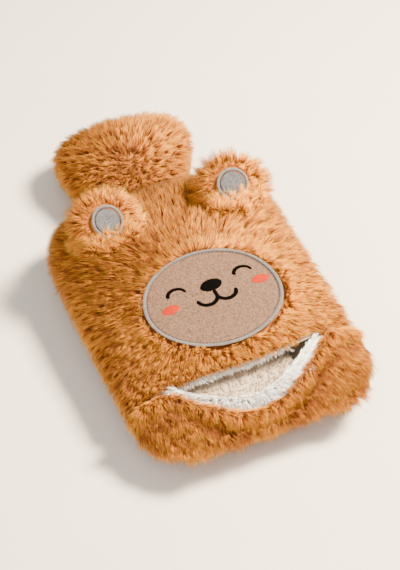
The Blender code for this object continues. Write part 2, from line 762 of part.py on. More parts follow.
def make_face_patch():
    """The suede oval of the face."""
    inset = PIPING_W + GAP
    mesh = oval_solid(FACE_A - inset, FACE_B - inset,
                      lambda x, y: bed_height(x, y) + GAP, patch_height)
    finish(mesh, "face_patch", SUEDE_TAUPE)


def add_curve(name, points, closed):
    """A curve object through a row of points, in the scene."""
    curve = bpy.data.curves.new(name, "CURVE")
    curve.dimensions = "3D"
    spline = curve.splines.new("POLY")
    spline.points.add(len(points) - 1)
    for target, point in zip(spline.points, points):
        target.co = (*point, 1.0)
    spline.use_cyclic_u = closed
    holder = bpy.data.objects.new(name, curve)
    bpy.context.scene.collection.objects.link(holder)
    return holder


def flat_bead(points, width, height, closed=False, sides=8):
    """Mesh of a bead with a flat oval section, along points of the face."""
    turns = [math.tau * (k + 0.5) / sides for k in range(sides)]
    section = add_curve("section", [Vector((width / 2 * math.cos(turn),
                                            height / 2 * math.sin(turn), 0.0))
                                    for turn in turns], True)
    path = add_curve("path", points, closed)
    path.data.twist_mode = "Z_UP"
    path.data.bevel_mode = "OBJECT"
    path.data.bevel_object = section
    path.data.use_fill_caps = not closed
    graph = bpy.context.evaluated_depsgraph_get()
    skin = bpy.data.meshes.new_from_object(path.evaluated_get(graph))
    mesh = bmesh.new()
    mesh.from_mesh(skin)
    bmesh.ops.remove_doubles(mesh, verts=mesh.verts[:], dist=MERGE)
    for helper in (path, section):
        bpy.data.objects.remove(helper, do_unlink=True)
    return mesh


def make_face_trim():
    """Satin binding sewn over the edge of the patch."""
    points = []
    for k in range(60):
        angle = math.tau * k / 60
        x = FACE_X + (FACE_A - PIPING_W / 2) * math.cos(angle)
        y = FACE_Y + (FACE_B - PIPING_W / 2) * math.sin(angle)
        points.append(Vector((x, y, bed_height(x, y) + GAP + PIPING_H / 2)))
    mesh = flat_bead(points, PIPING_W, PIPING_H, closed=True)
    finish(mesh, "face_trim", SATIN_GREY, SATIN)


def on_patch(u, v, lift):
    """A point of the face's own plan, raised over the patch."""
    x = FEATURE_X + u * math.cos(FEATURE_TURN) - v * math.sin(FEATURE_TURN)
    y = u * math.sin(FEATURE_TURN) + v * math.cos(FEATURE_TURN)
    return Vector((x, y, patch_height(x, y) + GAP + lift))


def make_stroke(plan, name):
    """An embroidered line along points of the face's plan."""
    points = [on_patch(u, v, THREAD_H / 2) for u, v in plan]
    return finish(flat_bead(points, STROKE_W, THREAD_H), name, THREAD_BLACK, THREAD)


def make_stitched_oval(name, u, v, half_a, half_b, height, colour):
    """An oval filled with stitches, domed, at a point of the face's plan."""
    top, low = [], []
    for row in disc_rows(5):
        top.append([])
        low.append([])
        for a, b in row:
            dome = OVAL_EDGE + (1.0 - OVAL_EDGE) * (1.0 - a * a - b * b)
            place = (u + half_a * a, v + half_b * b)
            top[-1].append(on_patch(*place, height * dome))
            low[-1].append(on_patch(*place, 0.0))
    finish(solid_between(top, low), name, colour, THREAD)


def bow(u, v, half, rise, count=11):
    """Points of a shallow bow over or under a chord."""
    angles = [math.pi * k / (count - 1) for k in range(count)]
    return [(u - half * math.cos(a), v + rise * math.sin(a)) for a in angles]


def make_mouth():
    """Two bows and the line up to the nose, stitched as one."""
    left = make_stroke(bow(-MOUTH_X, MOUTH_Y, MOUTH_HALF, -MOUTH_DROP), "mouth")
    right = make_stroke(bow(MOUTH_X, MOUTH_Y, MOUTH_HALF, -MOUTH_DROP), "mouth_right")
    top = NOSE_Y - NOSE_B - STEM_GAP
    plan = [(0.0, top), (0.0, (top + MOUTH_Y) / 2), (0.0, MOUTH_Y - STEM_SINK)]
    stem = make_stroke(plan, "mouth_stem")
    use_boolean(left, "UNION", as_cutter(right), as_cutter(stem))


def make_features():
    """Smiling eyes, nose, mouth and cheeks, embroidered on the patch."""
    for side, word in ((-1, "left"), (1, "right")):
        make_stroke(bow(side * EYE_X, EYE_Y, EYE_HALF, EYE_RISE), "eye_" + word)
        make_stitched_oval("cheek_" + word, side * CHEEK_X, CHEEK_Y,
                           CHEEK_A, CHEEK_B, CHEEK_H, THREAD_CORAL)
    make_stitched_oval("nose", 0.0, NOSE_Y, NOSE_A, NOSE_B, NOSE_H, THREAD_BLACK)
    make_mouth()


# ---- model -------------------------------------------------------------------
def clear_scene():
    """Remove what the scene holds and make the two collections."""
    for thing in list(bpy.data.objects):
        bpy.data.objects.remove(thing, do_unlink=True)
    for name in (COLLECTION, CUTTERS):
        group = bpy.data.collections.new(name)
        bpy.context.scene.collection.children.link(group)


def main():
    clear_scene()
    envelope = make_envelope()
    passage = make_passage_cutter()
    make_back_panel(passage)
    make_front_panel(passage, make_face_cutter())
    make_pocket_panel()
    make_neck_hood(envelope)
    make_lining_pocket()
    make_lining_front()
    make_pocket_back()
    make_lining_back()
    for side, word in ((-1, "left"), (1, "right")):
        make_ear(side, "ear_" + word, envelope)
        make_ear_disc(side, "inner_ear_" + word)
        make_ear_ring(side, "ear_trim_" + word)
    make_face_patch()
    make_face_trim()
    make_features()


main()
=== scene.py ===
"""Looks of a plush hot water bottle cover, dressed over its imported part.

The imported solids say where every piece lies. Each class below takes the solids of one
sub-assembly, makes finer cloth of them, and sets pile, threads and stitches on it.
Sizes are in metres and angles in radians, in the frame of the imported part.
"""

import logging
import math
from dataclasses import dataclass, field
from enum import Enum

import bpy
import numpy as np
from mathutils import Euler, Matrix, Vector
from mathutils.bvhtree import BVHTree
from mathutils.kdtree import KDTree


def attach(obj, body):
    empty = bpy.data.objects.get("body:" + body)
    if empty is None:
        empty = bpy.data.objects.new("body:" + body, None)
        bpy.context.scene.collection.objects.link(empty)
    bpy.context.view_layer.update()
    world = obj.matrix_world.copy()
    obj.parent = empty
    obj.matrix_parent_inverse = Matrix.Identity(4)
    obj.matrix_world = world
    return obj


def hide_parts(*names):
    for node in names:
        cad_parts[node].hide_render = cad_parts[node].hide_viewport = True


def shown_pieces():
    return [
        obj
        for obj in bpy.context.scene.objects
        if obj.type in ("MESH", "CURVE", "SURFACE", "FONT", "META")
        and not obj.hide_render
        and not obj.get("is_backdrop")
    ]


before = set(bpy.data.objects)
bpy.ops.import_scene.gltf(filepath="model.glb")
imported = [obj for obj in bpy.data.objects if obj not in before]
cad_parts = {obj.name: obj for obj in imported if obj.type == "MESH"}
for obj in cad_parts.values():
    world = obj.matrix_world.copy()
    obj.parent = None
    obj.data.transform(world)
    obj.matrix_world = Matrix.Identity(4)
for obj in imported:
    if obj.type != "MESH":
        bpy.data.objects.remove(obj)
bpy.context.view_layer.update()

Array = np.ndarray
Object = bpy.types.Object
Material = bpy.types.Material
Socket = bpy.types.NodeSocket
Colour = tuple[int, int, int]
Stops = tuple[tuple[float, Colour], ...]
Span = tuple[float, float]
Triple = tuple[float, float, float]
Triangle = tuple[int, int, int]

LOG = logging.getLogger("cover")
BODY = "root"
DEPTH = "depth"            # attribute: how deep the pile is at a point of the cloth
PILE_MAP = "OFBake"        # pile's own map: tone across it, root to tip up it
THREAD_MAP = "Thread"      # a thread's own map: along it and round it
TONES = 32                 # columns of the pile's map
COLUMN_REACH = 0.35        # of a column's width, to each side of its middle
MAP_MARGIN = 0.01          # free at the root's and the tip's end of the pile's map
STRAND_FLAT = 0.75         # a strand's thickness against its width
THREAD_FLAT = 0.85         # a thread's
THREAD_END = 0.55          # a thread's radius at its ends
MOST_LOCKS = 19000         # in one piece
MERGE = 0.00001            # points closer than this are one
RAY_START = 0.0005         # a ray into a wall starts this deep in it
TINY = 1e-9
FLOOR_CLEAR = 0.0004       # tips stay this far over the floor
UP = np.array((0.0, 0.0, 1.0))
FACE_MIDDLE = (0.0012, -0.0706)
FACE_HALF = (0.0600, 0.0494)


class Slot(Enum):
    """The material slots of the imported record."""

    GINGER = "ginger_fur"
    SHERPA = "white_plush"
    TAUPE = "taupe_suede"
    GREY = "grey_suede"
    SATIN = "grey_satin"
    BLACK = "black_thread"
    CORAL = "coral_thread"


class Held(Enum):
    """How a sheet of cloth is held."""

    LAID = "laid"
    HUNG = "hung"
    STRETCHED = "stretched"


class Side(Enum):
    """Left and right of the cover, as signs of X."""

    LEFT = -1
    RIGHT = 1

    @property
    def word(self) -> str:
        """The side's name, as in the names of nodes."""
        return self.name.lower()


# ---- vectors ------------------------------------------------------------------
def unit(vectors: Array) -> Array:
    """Vectors scaled to length one."""
    return vectors / np.maximum(np.linalg.norm(vectors, axis=-1, keepdims=True), TINY)


def dot(first: Array, second: Array) -> Array:
    """Dot products of two rows of vectors, as a column."""
    return np.sum(first * second, axis=-1, keepdims=True)


def smooth(values: Array, low: float, high: float) -> Array:
    """Values eased from 0 at low to 1 at high."""
    share = np.clip((values - low) / (high - low), 0.0, 1.0)
    return share * share * (3.0 - 2.0 * share)


@dataclass(frozen=True)
class Ease:
    """A soft step from one value to another, as a measure rises past a band."""

    low: float                 # where the step starts
    high: float                # and ends
    first: float = 0.0         # the value before it
    last: float = 1.0          # and after it

    def __call__(self, measure: Array) -> Array:
        """The value at each measure."""
        return self.first + (self.last - self.first) * smooth(measure, self.low, self.high)


def patchy(points: Array, size: float, turn: float) -> Array:
    """A slow, uneven variation over the surface.

    Args:
        points: Places on the surface.
        size: Length of its patches.
        turn: Shifts the pattern, so that two of them differ.

    Returns:
        Values from about -1 to 1, one a place.
    """
    x, y, z = (points / size).T
    first = np.sin(x * 1.7 + turn + 1.3 * np.sin(y * 1.1 + turn))
    second = np.sin(y * 2.3 - z * 1.9 + 2.0 * turn + 1.1 * np.sin(x * 1.9))
    third = np.sin(z * 2.9 + x * 3.1 + y * 2.7 + 3.0 * turn)
    return (first + second + 0.6 * third) / 2.6


def read(data: bpy.types.bpy_prop_collection, key: str, width: int) -> Array:
    """Values of a mesh's collection as an array.

    Args:
        data: The collection, such as a mesh's vertices.
        key: The property to read.
        width: How many numbers one element has.

    Returns:
        An array with a row for each element, or a flat one for a width of 1.
    """
    values = np.zeros(len(data) * width, np.float32)
    data.foreach_get(key, values)
    values = values.astype(float)
    return values if width == 1 else values.reshape(-1, width)


# ---- meshes -------------------------------------------------------------------
def select_only(piece: Object) -> None:
    """Deselects all, then selects a piece and makes it active.

    Args:
        piece: The object to select.
    """
    bpy.ops.object.select_all(action="DESELECT")
    piece.select_set(True)
    bpy.context.view_layer.objects.active = piece


def move_points(piece: Object, points: Array) -> None:
    """Puts the points of a mesh object in new places."""
    piece.data.vertices.foreach_set("co", points.astype(np.float32).ravel())


def mesh_of(name: str, points: Array, corners: Array, maps: dict[str, Array]) -> Object:
    """A smooth mesh object made from arrays.

    Args:
        name: The object's name.
        points: Its points, one a row.
        corners: The points of each face, one face a row.
        maps: A place on each named UV map for every point.

    Returns:
        The new object.
    """
    mesh = bpy.data.meshes.new(name)
    mesh.vertices.add(len(points))
    mesh.vertices.foreach_set("co", points.astype(np.float32).ravel())
    mesh.loops.add(corners.size)
    mesh.loops.foreach_set("vertex_index", corners.astype(np.int32).ravel())
    mesh.polygons.add(len(corners))
    starts = np.arange(0, corners.size, corners.shape[1], dtype=np.int32)
    mesh.polygons.foreach_set("loop_start", starts)
    mesh.polygons.foreach_set("use_smooth", np.ones(len(corners), bool))
    for key, places in maps.items():
        layer = mesh.uv_layers.new(name=key)
        layer.data.foreach_set("uv", places[corners.ravel()].astype(np.float32).ravel())
    mesh.update(calc_edges=True)
    piece = bpy.data.objects.new(name, mesh)
    bpy.context.scene.collection.objects.link(piece)
    return piece


def rings_along(paths: Array, radii: Array, ups: Array, sides: int, flat: float) -> Array:
    """Rings of points round many paths.

    Args:
        paths: Points along each path, as paths by steps by 3.
        radii: Radius at each step, as paths by steps.
        ups: A direction for each path that its flat side faces.
        sides: Points in a ring.
        flat: Thickness along ups as a share of the width.

    Returns:
        Points as paths by steps by sides by 3.
    """
    along = unit(np.gradient(paths, axis=1))
    side = unit(np.cross(along, ups[:, None, :]))
    lift = np.cross(side, along)
    angle = math.tau * (np.arange(sides) / sides) + math.pi / 2
    wide = np.cos(angle)[None, None, :, None] * side[:, :, None, :]
    high = np.sin(angle)[None, None, :, None] * lift[:, :, None, :] * flat
    return paths[:, :, None, :] + radii[:, :, None, None] * (wide + high)


def wall_faces(steps: int, sides: int) -> list[Triangle]:
    """Triangles between the rings of one tube, facing out.

    Args:
        steps: How many rings.
        sides: Points in a ring.

    Returns:
        The corners of each triangle.
    """
    faces = []
    for step in range(steps - 1):
        for k in range(sides):
            a, b = step * sides + k, step * sides + (k + 1) % sides
            c, d = a + sides, b + sides
            faces += [(a, c, b), (b, c, d)]
    return faces


def repeat_faces(faces: list[Triangle], count: int, size: int) -> Array:
    """The same faces for each of many like shapes of so many points."""
    shifts = np.arange(count)[:, None, None] * size
    return (np.array(faces)[None] + shifts).reshape(-1, 3)


def strand_mesh(name: str, paths: Array, radii: Array, ups: Array, tone: Array) -> Object:
    """Many closed, tapered strands of pile as one mesh.

    Args:
        name: The object's name.
        paths: Points along each strand, the last one its tip.
        radii: Radius at each point but the tip.
        ups: The surface's normal at each strand.
        tone: Each strand's tone, from 0, dark, to 1, light.

    Returns:
        The mesh object, with the pile's map.
    """
    sides = 3
    count, steps = paths.shape[0], paths.shape[1] - 1
    rings = rings_along(paths, np.pad(radii, ((0, 0), (0, 1))), ups, sides, STRAND_FLAT)
    rings = rings[:, :-1].reshape(count, -1, 3)
    points = np.concatenate([rings, paths[:, -1:]], axis=1)
    tip, last = steps * sides, (steps - 1) * sides
    faces = wall_faces(steps, sides) + [(0, 1, 2)]
    faces += [(last + k, tip, last + (k + 1) % sides) for k in range(sides)]
    column = np.floor(np.clip(tone, 0.0, 0.999) * TONES) + 0.5
    across = np.append(np.tile((-COLUMN_REACH, 0.0, COLUMN_REACH), steps), 0.0)
    along = np.append(np.repeat(np.arange(steps) / steps, sides), 1.0)
    places = np.empty((count, tip + 1, 2))
    places[:, :, 0] = (column[:, None] + across[None]) / TONES
    places[:, :, 1] = along[None] * (1.0 - 2.0 * MAP_MARGIN) + MAP_MARGIN
    corners = repeat_faces(faces, count, tip + 1)
    return mesh_of(name, points.reshape(-1, 3), corners, {PILE_MAP: places.reshape(-1, 2)})


def thread_mesh(name: str, paths: Array, radius: float, ups: Array, sides: int = 5) -> Object:
    """Many short, round threads with closed ends as one mesh.

    Args:
        name: The object's name.
        paths: Points along each thread.
        radius: The thread's radius.
        ups: A direction away from the cloth at each thread.
        sides: Points round the thread.

    Returns:
        The mesh object, with a map along and round each thread.
    """
    count, steps = paths.shape[:2]
    swell = np.full(steps, radius)
    swell[[0, -1]] *= THREAD_END
    rings = rings_along(paths, np.tile(swell, (count, 1)), ups, sides, THREAD_FLAT)
    end = (steps - 1) * sides
    faces = wall_faces(steps, sides)
    faces += [(0, k, k + 1) for k in range(1, sides - 1)]
    faces += [(end, end + k + 1, end + k) for k in range(1, sides - 1)]
    lengths = np.linalg.norm(np.diff(paths, axis=1), axis=2)
    reach = np.concatenate([np.zeros((count, 1)), np.cumsum(lengths, axis=1)], axis=1)
    places = np.empty((count, steps, sides, 2))
    places[..., 0] = reach[:, :, None] / radius
    places[..., 1] = np.arange(sides) / sides
    corners = repeat_faces(faces, count, steps * sides)
    return mesh_of(name, rings.reshape(-1, 3), corners, {THREAD_MAP: places.reshape(-1, 2)})


def copy_of(node: str, name: str) -> Object:
    """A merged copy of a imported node's mesh, in quads where it can be.

    Args:
        node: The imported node.
        name: The copy's name.

    Returns:
        The copy, smooth and without materials.
    """
    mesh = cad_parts[node].data.copy()
    mesh.name = name
    mesh.materials.clear()
    piece = bpy.data.objects.new(name, mesh)
    bpy.context.scene.collection.objects.link(piece)
    select_only(piece)
    bpy.ops.mesh.customdata_custom_splitnormals_clear()
    bpy.ops.object.mode_set(mode="EDIT")
    bpy.ops.mesh.select_all(action="SELECT")
    bpy.ops.mesh.remove_doubles(threshold=MERGE)
    bpy.ops.mesh.tris_convert_to_quads()
    bpy.ops.object.mode_set(mode="OBJECT")
    bpy.ops.object.shade_smooth()
    return piece


def subdivide(piece: Object, levels: int) -> None:
    """Rounds a piece with an applied Subdivision Surface.

    Args:
        piece: The mesh object.
        levels: How often each face is split.
    """
    select_only(piece)
    rounding = piece.modifiers.new("rounding", "SUBSURF")
    rounding.levels = levels
    rounding.render_levels = levels
    bpy.ops.object.modifier_apply(modifier=rounding.name)


def torus(name: str, radius: float, thickness: float, rounds: int, sides: int) -> Object:
    """A ring to be shaped further.

    Args:
        name: The object's name.
        radius: Radius of the ring's middle line.
        thickness: Radius of the ring's own section.
        rounds: Points along the ring.
        sides: Points round its section.

    Returns:
        The smooth ring, lying about the origin.
    """
    bpy.ops.object.select_all(action="DESELECT")
    bpy.ops.mesh.primitive_torus_add(
        major_segments=rounds, minor_segments=sides, major_radius=radius, minor_radius=thickness)
    ring = bpy.context.object
    ring.name = ring.data.name = name
    bpy.ops.object.shade_smooth()
    return ring


def triangles_of(piece: Object) -> Array:
    """The points of each triangle of a mesh object."""
    piece.data.calc_loop_triangles()
    return read(piece.data.loop_triangles, "vertices", 3).astype(int)


def tree_of(*pieces: Object) -> BVHTree:
    """A search tree over some mesh objects.

    Args:
        pieces: The mesh objects.

    Returns:
        The tree over all their triangles.
    """
    points, corners = [], []
    for piece in pieces:
        corners += (triangles_of(piece) + len(points)).tolist()
        points += read(piece.data.vertices, "co", 3).tolist()
    return BVHTree.FromPolygons(points, corners)


# ---- finishes -----------------------------------------------------------------
def linear(colour: Colour) -> tuple[float, float, float, float]:
    """A display colour, 0 to 255, as the linear colour that sockets take."""
    shares = [channel / 255.0 for channel in colour]
    return tuple(((s + 0.055) / 1.055) ** 2.4 if s > 0.04045 else s / 12.92 for s in shares) + (1.0,)


@dataclass(frozen=True)
class Hand:
    """How a cloth takes the light."""

    roughness: float = 0.85
    sheen: float = 0.15        # weight of its soft fuzz of light
    tint: Colour = (255, 255, 255)
    gloss: float = 0.15        # how strongly it mirrors


class Shader:
    """A material whose nodes are added one by one."""

    def __init__(self, name: str, hand: Hand) -> None:
        """Starts the material.

        Args:
            name: The material's name.
            hand: How it takes the light.
        """
        self.material = bpy.data.materials.new(name)
        self.material.use_nodes = True
        self.tree = self.material.node_tree
        self.surface = self.tree.nodes["Principled BSDF"]
        self.set(self.surface, {
            "Roughness": hand.roughness, "Sheen Weight": hand.sheen,
            "Sheen Tint": linear(hand.tint), "Specular IOR Level": hand.gloss})

    @staticmethod
    def set(node: bpy.types.Node, values: dict[str, float | Triple]) -> None:
        """Sets a node's sockets by name."""
        for key, value in values.items():
            node.inputs[key].default_value = value

    def add(self, kind: str, values: dict[str, float | Triple] | None = None) -> bpy.types.Node:
        """Adds a node.

        Args:
            kind: The node's type.
            values: Values for some of its sockets, by name.

        Returns:
            The new node.
        """
        node = self.tree.nodes.new(kind)
        self.set(node, values or {})
        return node

    def link(self, source: Socket, target: Socket) -> None:
        """Joins two sockets."""
        self.tree.links.new(source, target)

    def place(self, key: str | None) -> Socket:
        """Where a point of the surface lies.

        Args:
            key: Name of a UV map, or None for the place in the object.

        Returns:
            The place.
        """
        if key is None:
            return self.add("ShaderNodeTexCoord").outputs["Object"]
        node = self.add("ShaderNodeUVMap")
        node.uv_map = key
        return node.outputs["UV"]

    def stretch(self, place: Socket, scale: Triple, turn: float = 0.0) -> Socket:
        """Stretches and turns what is laid by a place.

        Args:
            place: The place.
            scale: How much it is stretched along each axis.
            turn: Its angle about Z.

        Returns:
            The changed place.
        """
        node = self.add("ShaderNodeMapping", {"Scale": scale, "Rotation": (0.0, 0.0, turn)})
        self.link(place, node.inputs["Vector"])
        return node.outputs["Vector"]

    def split(self, place: Socket) -> tuple[Socket, Socket]:
        """Takes a place apart.

        Args:
            place: The place.

        Returns:
            Its first two parts.
        """
        node = self.add("ShaderNodeSeparateXYZ")
        self.link(place, node.inputs["Vector"])
        return node.outputs["X"], node.outputs["Y"]

    def noise(self, place: Socket, scale: float, detail: float = 3.0, warp: float = 0.0) -> Socket:
        """A cloudy pattern.

        Args:
            place: Where it lies.
            scale: Clouds in a unit of the place.
            detail: How often finer clouds are laid over them.
            warp: How far they are pulled out of shape.

        Returns:
            A value from 0 to 1.
        """
        values = {"Scale": scale, "Detail": detail, "Distortion": warp}
        node = self.add("ShaderNodeTexNoise", values)
        self.link(place, node.inputs["Vector"])
        return node.outputs["Fac"]

    def bands(self, place: Socket, scale: float, warp: float) -> Socket:
        """A pattern of even bands across the first axis.

        Args:
            place: Where it lies.
            scale: How close the bands are.
            warp: How far they are pulled out of shape.

        Returns:
            A value from 0 to 1.
        """
        node = self.add("ShaderNodeTexWave", {"Scale": scale, "Distortion": warp})
        self.link(place, node.inputs["Vector"])
        return node.outputs["Fac"]

    def ramp(self, value: Socket, stops: Stops) -> Socket:
        """Colours along a value.

        Args:
            value: A value from 0 to 1.
            stops: Values with their colours.

        Returns:
            The colour.
        """
        node = self.add("ShaderNodeValToRGB")
        ends = node.color_ramp.elements
        while len(ends) < len(stops):
            ends.new(0.5)
        for end, (place, colour) in zip(ends, stops):
            end.position = place
            end.color = linear(colour)
        self.link(value, node.inputs["Fac"])
        return node.outputs["Color"]

    def mix(self, share: Socket, first: Socket, second: Socket) -> Socket:
        """One colour turning into another.

        Args:
            share: Share of the second colour.
            first: The colour at 0.
            second: The colour at 1.

        Returns:
            The mixed colour.
        """
        node = self.add("ShaderNodeMix")
        node.data_type = "RGBA"
        self.link(share, node.inputs[0])
        self.link(first, node.inputs[6])
        self.link(second, node.inputs[7])
        return node.outputs[2]

    def sum(self, first: Socket, second: Socket, weight: float) -> Socket:
        """A value with a weighted second one added.

        Args:
            first: The value.
            second: What is added.
            weight: How much of it.

        Returns:
            The sum.
        """
        node = self.add("ShaderNodeMath")
        node.operation = "MULTIPLY_ADD"
        self.link(second, node.inputs[0])
        node.inputs[1].default_value = weight
        self.link(first, node.inputs[2])
        return node.outputs["Value"]

    def paint(self, colour: Socket) -> None:
        """Gives the surface its colour."""
        self.link(colour, self.surface.inputs["Base Color"])

    def relief(self, height: Socket, strength: float, distance: float) -> None:
        """Raises a fine relief.

        Args:
            height: Its height, from 0 to 1.
            strength: How much it shows.
            distance: Height that 1 stands for.
        """
        node = self.add("ShaderNodeBump", {"Strength": strength, "Distance": distance})
        self.link(height, node.inputs["Height"])
        self.link(node.outputs["Normal"], self.surface.inputs["Normal"])


PILE_STREAKS = (130.0, 2.5, 1.0)   # streaks over the pile's map: across, along


@dataclass(frozen=True)
class PileFinish:
    """Pile with roots darkened as painted shade and light tips, in tones from dark to light locks."""

    name: str
    dark: Stops
    light: Stops
    hand: Hand = Hand()
    streak: float = 0.35       # how much the streaks shade the pile

    def make(self) -> Material:
        """Makes the finish.

        Returns:
            It as a material.
        """
        shader = Shader(self.name, self.hand)
        place = shader.place(PILE_MAP)
        tone, along = shader.split(place)
        streaks = shader.noise(shader.stretch(place, PILE_STREAKS), 1.0, 1.0)
        uneven = shader.sum(tone, streaks, self.streak)
        lowered = shader.add("ShaderNodeMath")
        lowered.operation = "SUBTRACT"
        shader.link(uneven, lowered.inputs[0])
        lowered.inputs[1].default_value = self.streak / 2.0
        dark, light = shader.ramp(along, self.dark), shader.ramp(along, self.light)
        shader.paint(shader.mix(lowered.outputs["Value"], dark, light))
        shader.relief(streaks, 0.4, 0.0003)
        return shader.material


@dataclass(frozen=True)
class ClothFinish:
    """Knitted backing or short nap: cloudy colour over a fine grain."""

    name: str
    colours: Stops
    clouds: float              # cloudy patches a metre
    grain: float               # grains a metre
    hand: Hand = Hand()
    raised: float = 0.0004     # height of the grain
    strength: float = 0.6
    brushed: float = 1.0       # the clouds' length along Y against their width
    speckle: float = 0.25      # share of the grain in the colour

    def make(self) -> Material:
        """Makes the finish.

        Returns:
            It as a material.
        """
        shader = Shader(self.name, self.hand)
        place = shader.place(None)
        brushed = shader.stretch(place, (1.0, self.brushed, 1.0), 0.6)
        clouds = shader.noise(brushed, self.clouds, 4.0, 0.8)
        grain = shader.noise(place, self.grain, 2.0)
        shader.paint(shader.ramp(shader.sum(clouds, grain, self.speckle), self.colours))
        shader.relief(shader.sum(grain, clouds, 0.3), self.strength, self.raised)
        return shader.material


@dataclass(frozen=True)
class BandFinish:
    """Ribbed satin or twisted thread, its ribs laid by the piece's own map."""

    name: str
    colours: Stops
    key: str                   # name of the map
    scale: Triple
    turn: float = 0.0          # slant of the ribs on the map
    hand: Hand = Hand(roughness=0.5, gloss=0.4)
    raised: float = 0.0002
    strength: float = 0.5

    def make(self) -> Material:
        """Makes the finish.

        Returns:
            It as a material.
        """
        shader = Shader(self.name, self.hand)
        ribs = shader.bands(shader.stretch(shader.place(self.key), self.scale, self.turn), 1.0, 0.6)
        clouds = shader.noise(shader.place(None), 260.0)
        shader.paint(shader.ramp(shader.sum(clouds, ribs, 0.5), self.colours))
        shader.relief(ribs, self.strength, self.raised)
        return shader.material


# painted shade: its ramps darken towards the roots, where the locks shade each other
FUR_PILE = PileFinish(
    "ginger_pile",
    dark=((0.15, (50, 25, 14)), (0.6, (132, 72, 40)), (1.0, (210, 126, 46))),
    light=((0.15, (124, 65, 34)), (0.6, (234, 145, 50)), (1.0, (255, 206, 58))),
    hand=Hand(roughness=0.8, sheen=0.12, tint=(255, 190, 110), gloss=0.12),
)
# painted shade: the backing is dark ginger so that the gaps between the locks read as shade
FUR_BACKING = ClothFinish(
    "ginger_backing", ((0.2, (104, 58, 20)), (0.9, (160, 94, 34))), clouds=90.0, grain=1800.0)
SHERPA_PILE = PileFinish(
    "white_pile",
    dark=((0.0, (176, 150, 124)), (0.5, (216, 196, 174)), (1.0, (236, 222, 206))),
    light=((0.0, (250, 242, 232)), (0.5, (255, 253, 250)), (1.0, (255, 255, 255))),
    hand=Hand(sheen=0.4), streak=0.2,
)
# painted shade: darker copies of the white pile and its backing, for the lining inside the pocket
SHADED_WHITE_PILE = PileFinish(
    "beige_pile",
    dark=((0.0, (118, 99, 80)), (0.5, (160, 140, 120)), (1.0, (192, 175, 155))),
    light=((0.0, (164, 145, 124)), (0.5, (204, 188, 167)), (1.0, (230, 217, 199))),
    hand=Hand(sheen=0.25), streak=0.2,
)
SHADED_WHITE_BACKING = ClothFinish(
    "beige_backing", ((0.2, (176, 156, 132)), (0.9, (208, 190, 168))), clouds=140.0, grain=1500.0)
SHERPA_BACKING = ClothFinish(
    "white_backing", ((0.2, (226, 208, 184)), (0.9, (248, 238, 224))), clouds=140.0, grain=1500.0)
TAUPE_SUEDE = ClothFinish(
    "taupe_suede_nap", ((0.7, (78, 59, 48)), (0.88, (101, 77, 63)), (1.0, (116, 91, 75))),
    clouds=560.0, grain=1300.0, raised=0.00025, strength=0.35, speckle=0.8,
    hand=Hand(sheen=0.2, tint=(255, 226, 206)))
GREY_SUEDE = ClothFinish(
    "grey_suede_nap", ((0.7, (66, 66, 72)), (0.88, (84, 83, 89)), (1.0, (100, 99, 104))),
    clouds=520.0, grain=1300.0, raised=0.0002, strength=0.35, brushed=1.3, speckle=0.8)
GREY_SATIN = BandFinish(
    "grey_satin_ribs", ((0.2, (72, 70, 72)), (0.6, (94, 91, 92)), (1.0, (116, 112, 112))),
    "UVMap", (620.0, 1.0, 1.0))
TWIST, TWIST_SLANT = (0.35, 1.0, 1.0), 0.6
STITCH_THREAD = BandFinish(
    "stitch_thread", ((0.2, (26, 25, 34)), (1.0, (58, 56, 68))),
    THREAD_MAP, TWIST, TWIST_SLANT)
BLACK_THREAD = BandFinish(
    "black_thread_twist", ((0.2, (2, 2, 2)), (1.0, (8, 7, 7))),
    THREAD_MAP, TWIST, TWIST_SLANT, hand=Hand(0.7, 0.0, gloss=0.03))
CORAL_THREAD = BandFinish(
    "coral_thread_twist", ((0.2, (164, 30, 0)), (1.0, (190, 48, 0))),
    THREAD_MAP, TWIST, TWIST_SLANT, hand=Hand(0.55, 0.0))
FLOOR_FINISH = ClothFinish(
    "pale_floor", ((0.2, (233, 226, 216)), (0.9, (242, 236, 228))),
    clouds=4.0, grain=900.0, raised=0.0001, strength=0.2, hand=Hand(sheen=0.0))


class Wardrobe:
    """Finishes made once and shared by the pieces."""

    made: dict[str, Material] = {}

    @classmethod
    def dress(cls, piece: Object, finish: PileFinish | ClothFinish | BandFinish) -> None:
        """Gives a piece a finish as its only material.

        Args:
            piece: The mesh object.
            finish: The finish, made at its first use.
        """
        if finish.name not in cls.made:
            cls.made[finish.name] = finish.make()
        piece.data.materials.clear()
        piece.data.materials.append(cls.made[finish.name])


def settle(piece: Object, slot: Slot, *nodes: str) -> Object:
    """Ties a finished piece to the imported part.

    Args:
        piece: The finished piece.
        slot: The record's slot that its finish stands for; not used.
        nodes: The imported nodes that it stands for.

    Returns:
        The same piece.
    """
    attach(piece, BODY)
    if nodes:
        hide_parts(*nodes)
    LOG.info("%-26s %7d triangles", piece.name, len(triangles_of(piece)))
    return piece


# ---- pile ---------------------------------------------------------------------
UPRIGHT, LYING = 0.93, 0.12        # most and least that a strand's length rises
FLATTEST = 1.62                    # angle of a strand from the cloth's normal
CLUMP_LENGTH = (0.6, 1.35)         # of a clump against the pile's
STRAND_LENGTH = 1.05               # of the longest strand against its clump's
STRAND_PULL = (0.4, 1.25)          # how unevenly strands are drawn to their clump
PULL_CURVE = 1.4                   # the pull grows along a strand by this power
STRAND_WIDTH = (0.75, 1.2)         # of a strand against the pile's
CLUMP_TONE = 0.75                  # a clump's share in the tone of its strands
SLOW_TONE = 0.16                   # of the slow variation over the cloth
SLOW_SIZES = (0.016, 0.006)        # of its patches


@dataclass
class Roots:
    """Where strands of pile stand, and how each one lies."""

    points: Array
    normals: Array
    depth: Array               # how far the pile may rise there
    flow: Array                # where it is combed to
    stretch: Array             # its length against the pile's
    tone: Array                # lighter or darker than the rest

    def pick(self, chosen: Array) -> "Roots":
        """The roots at some indices, or where a mask is true."""
        return Roots(*(values[chosen] for values in vars(self).values()))


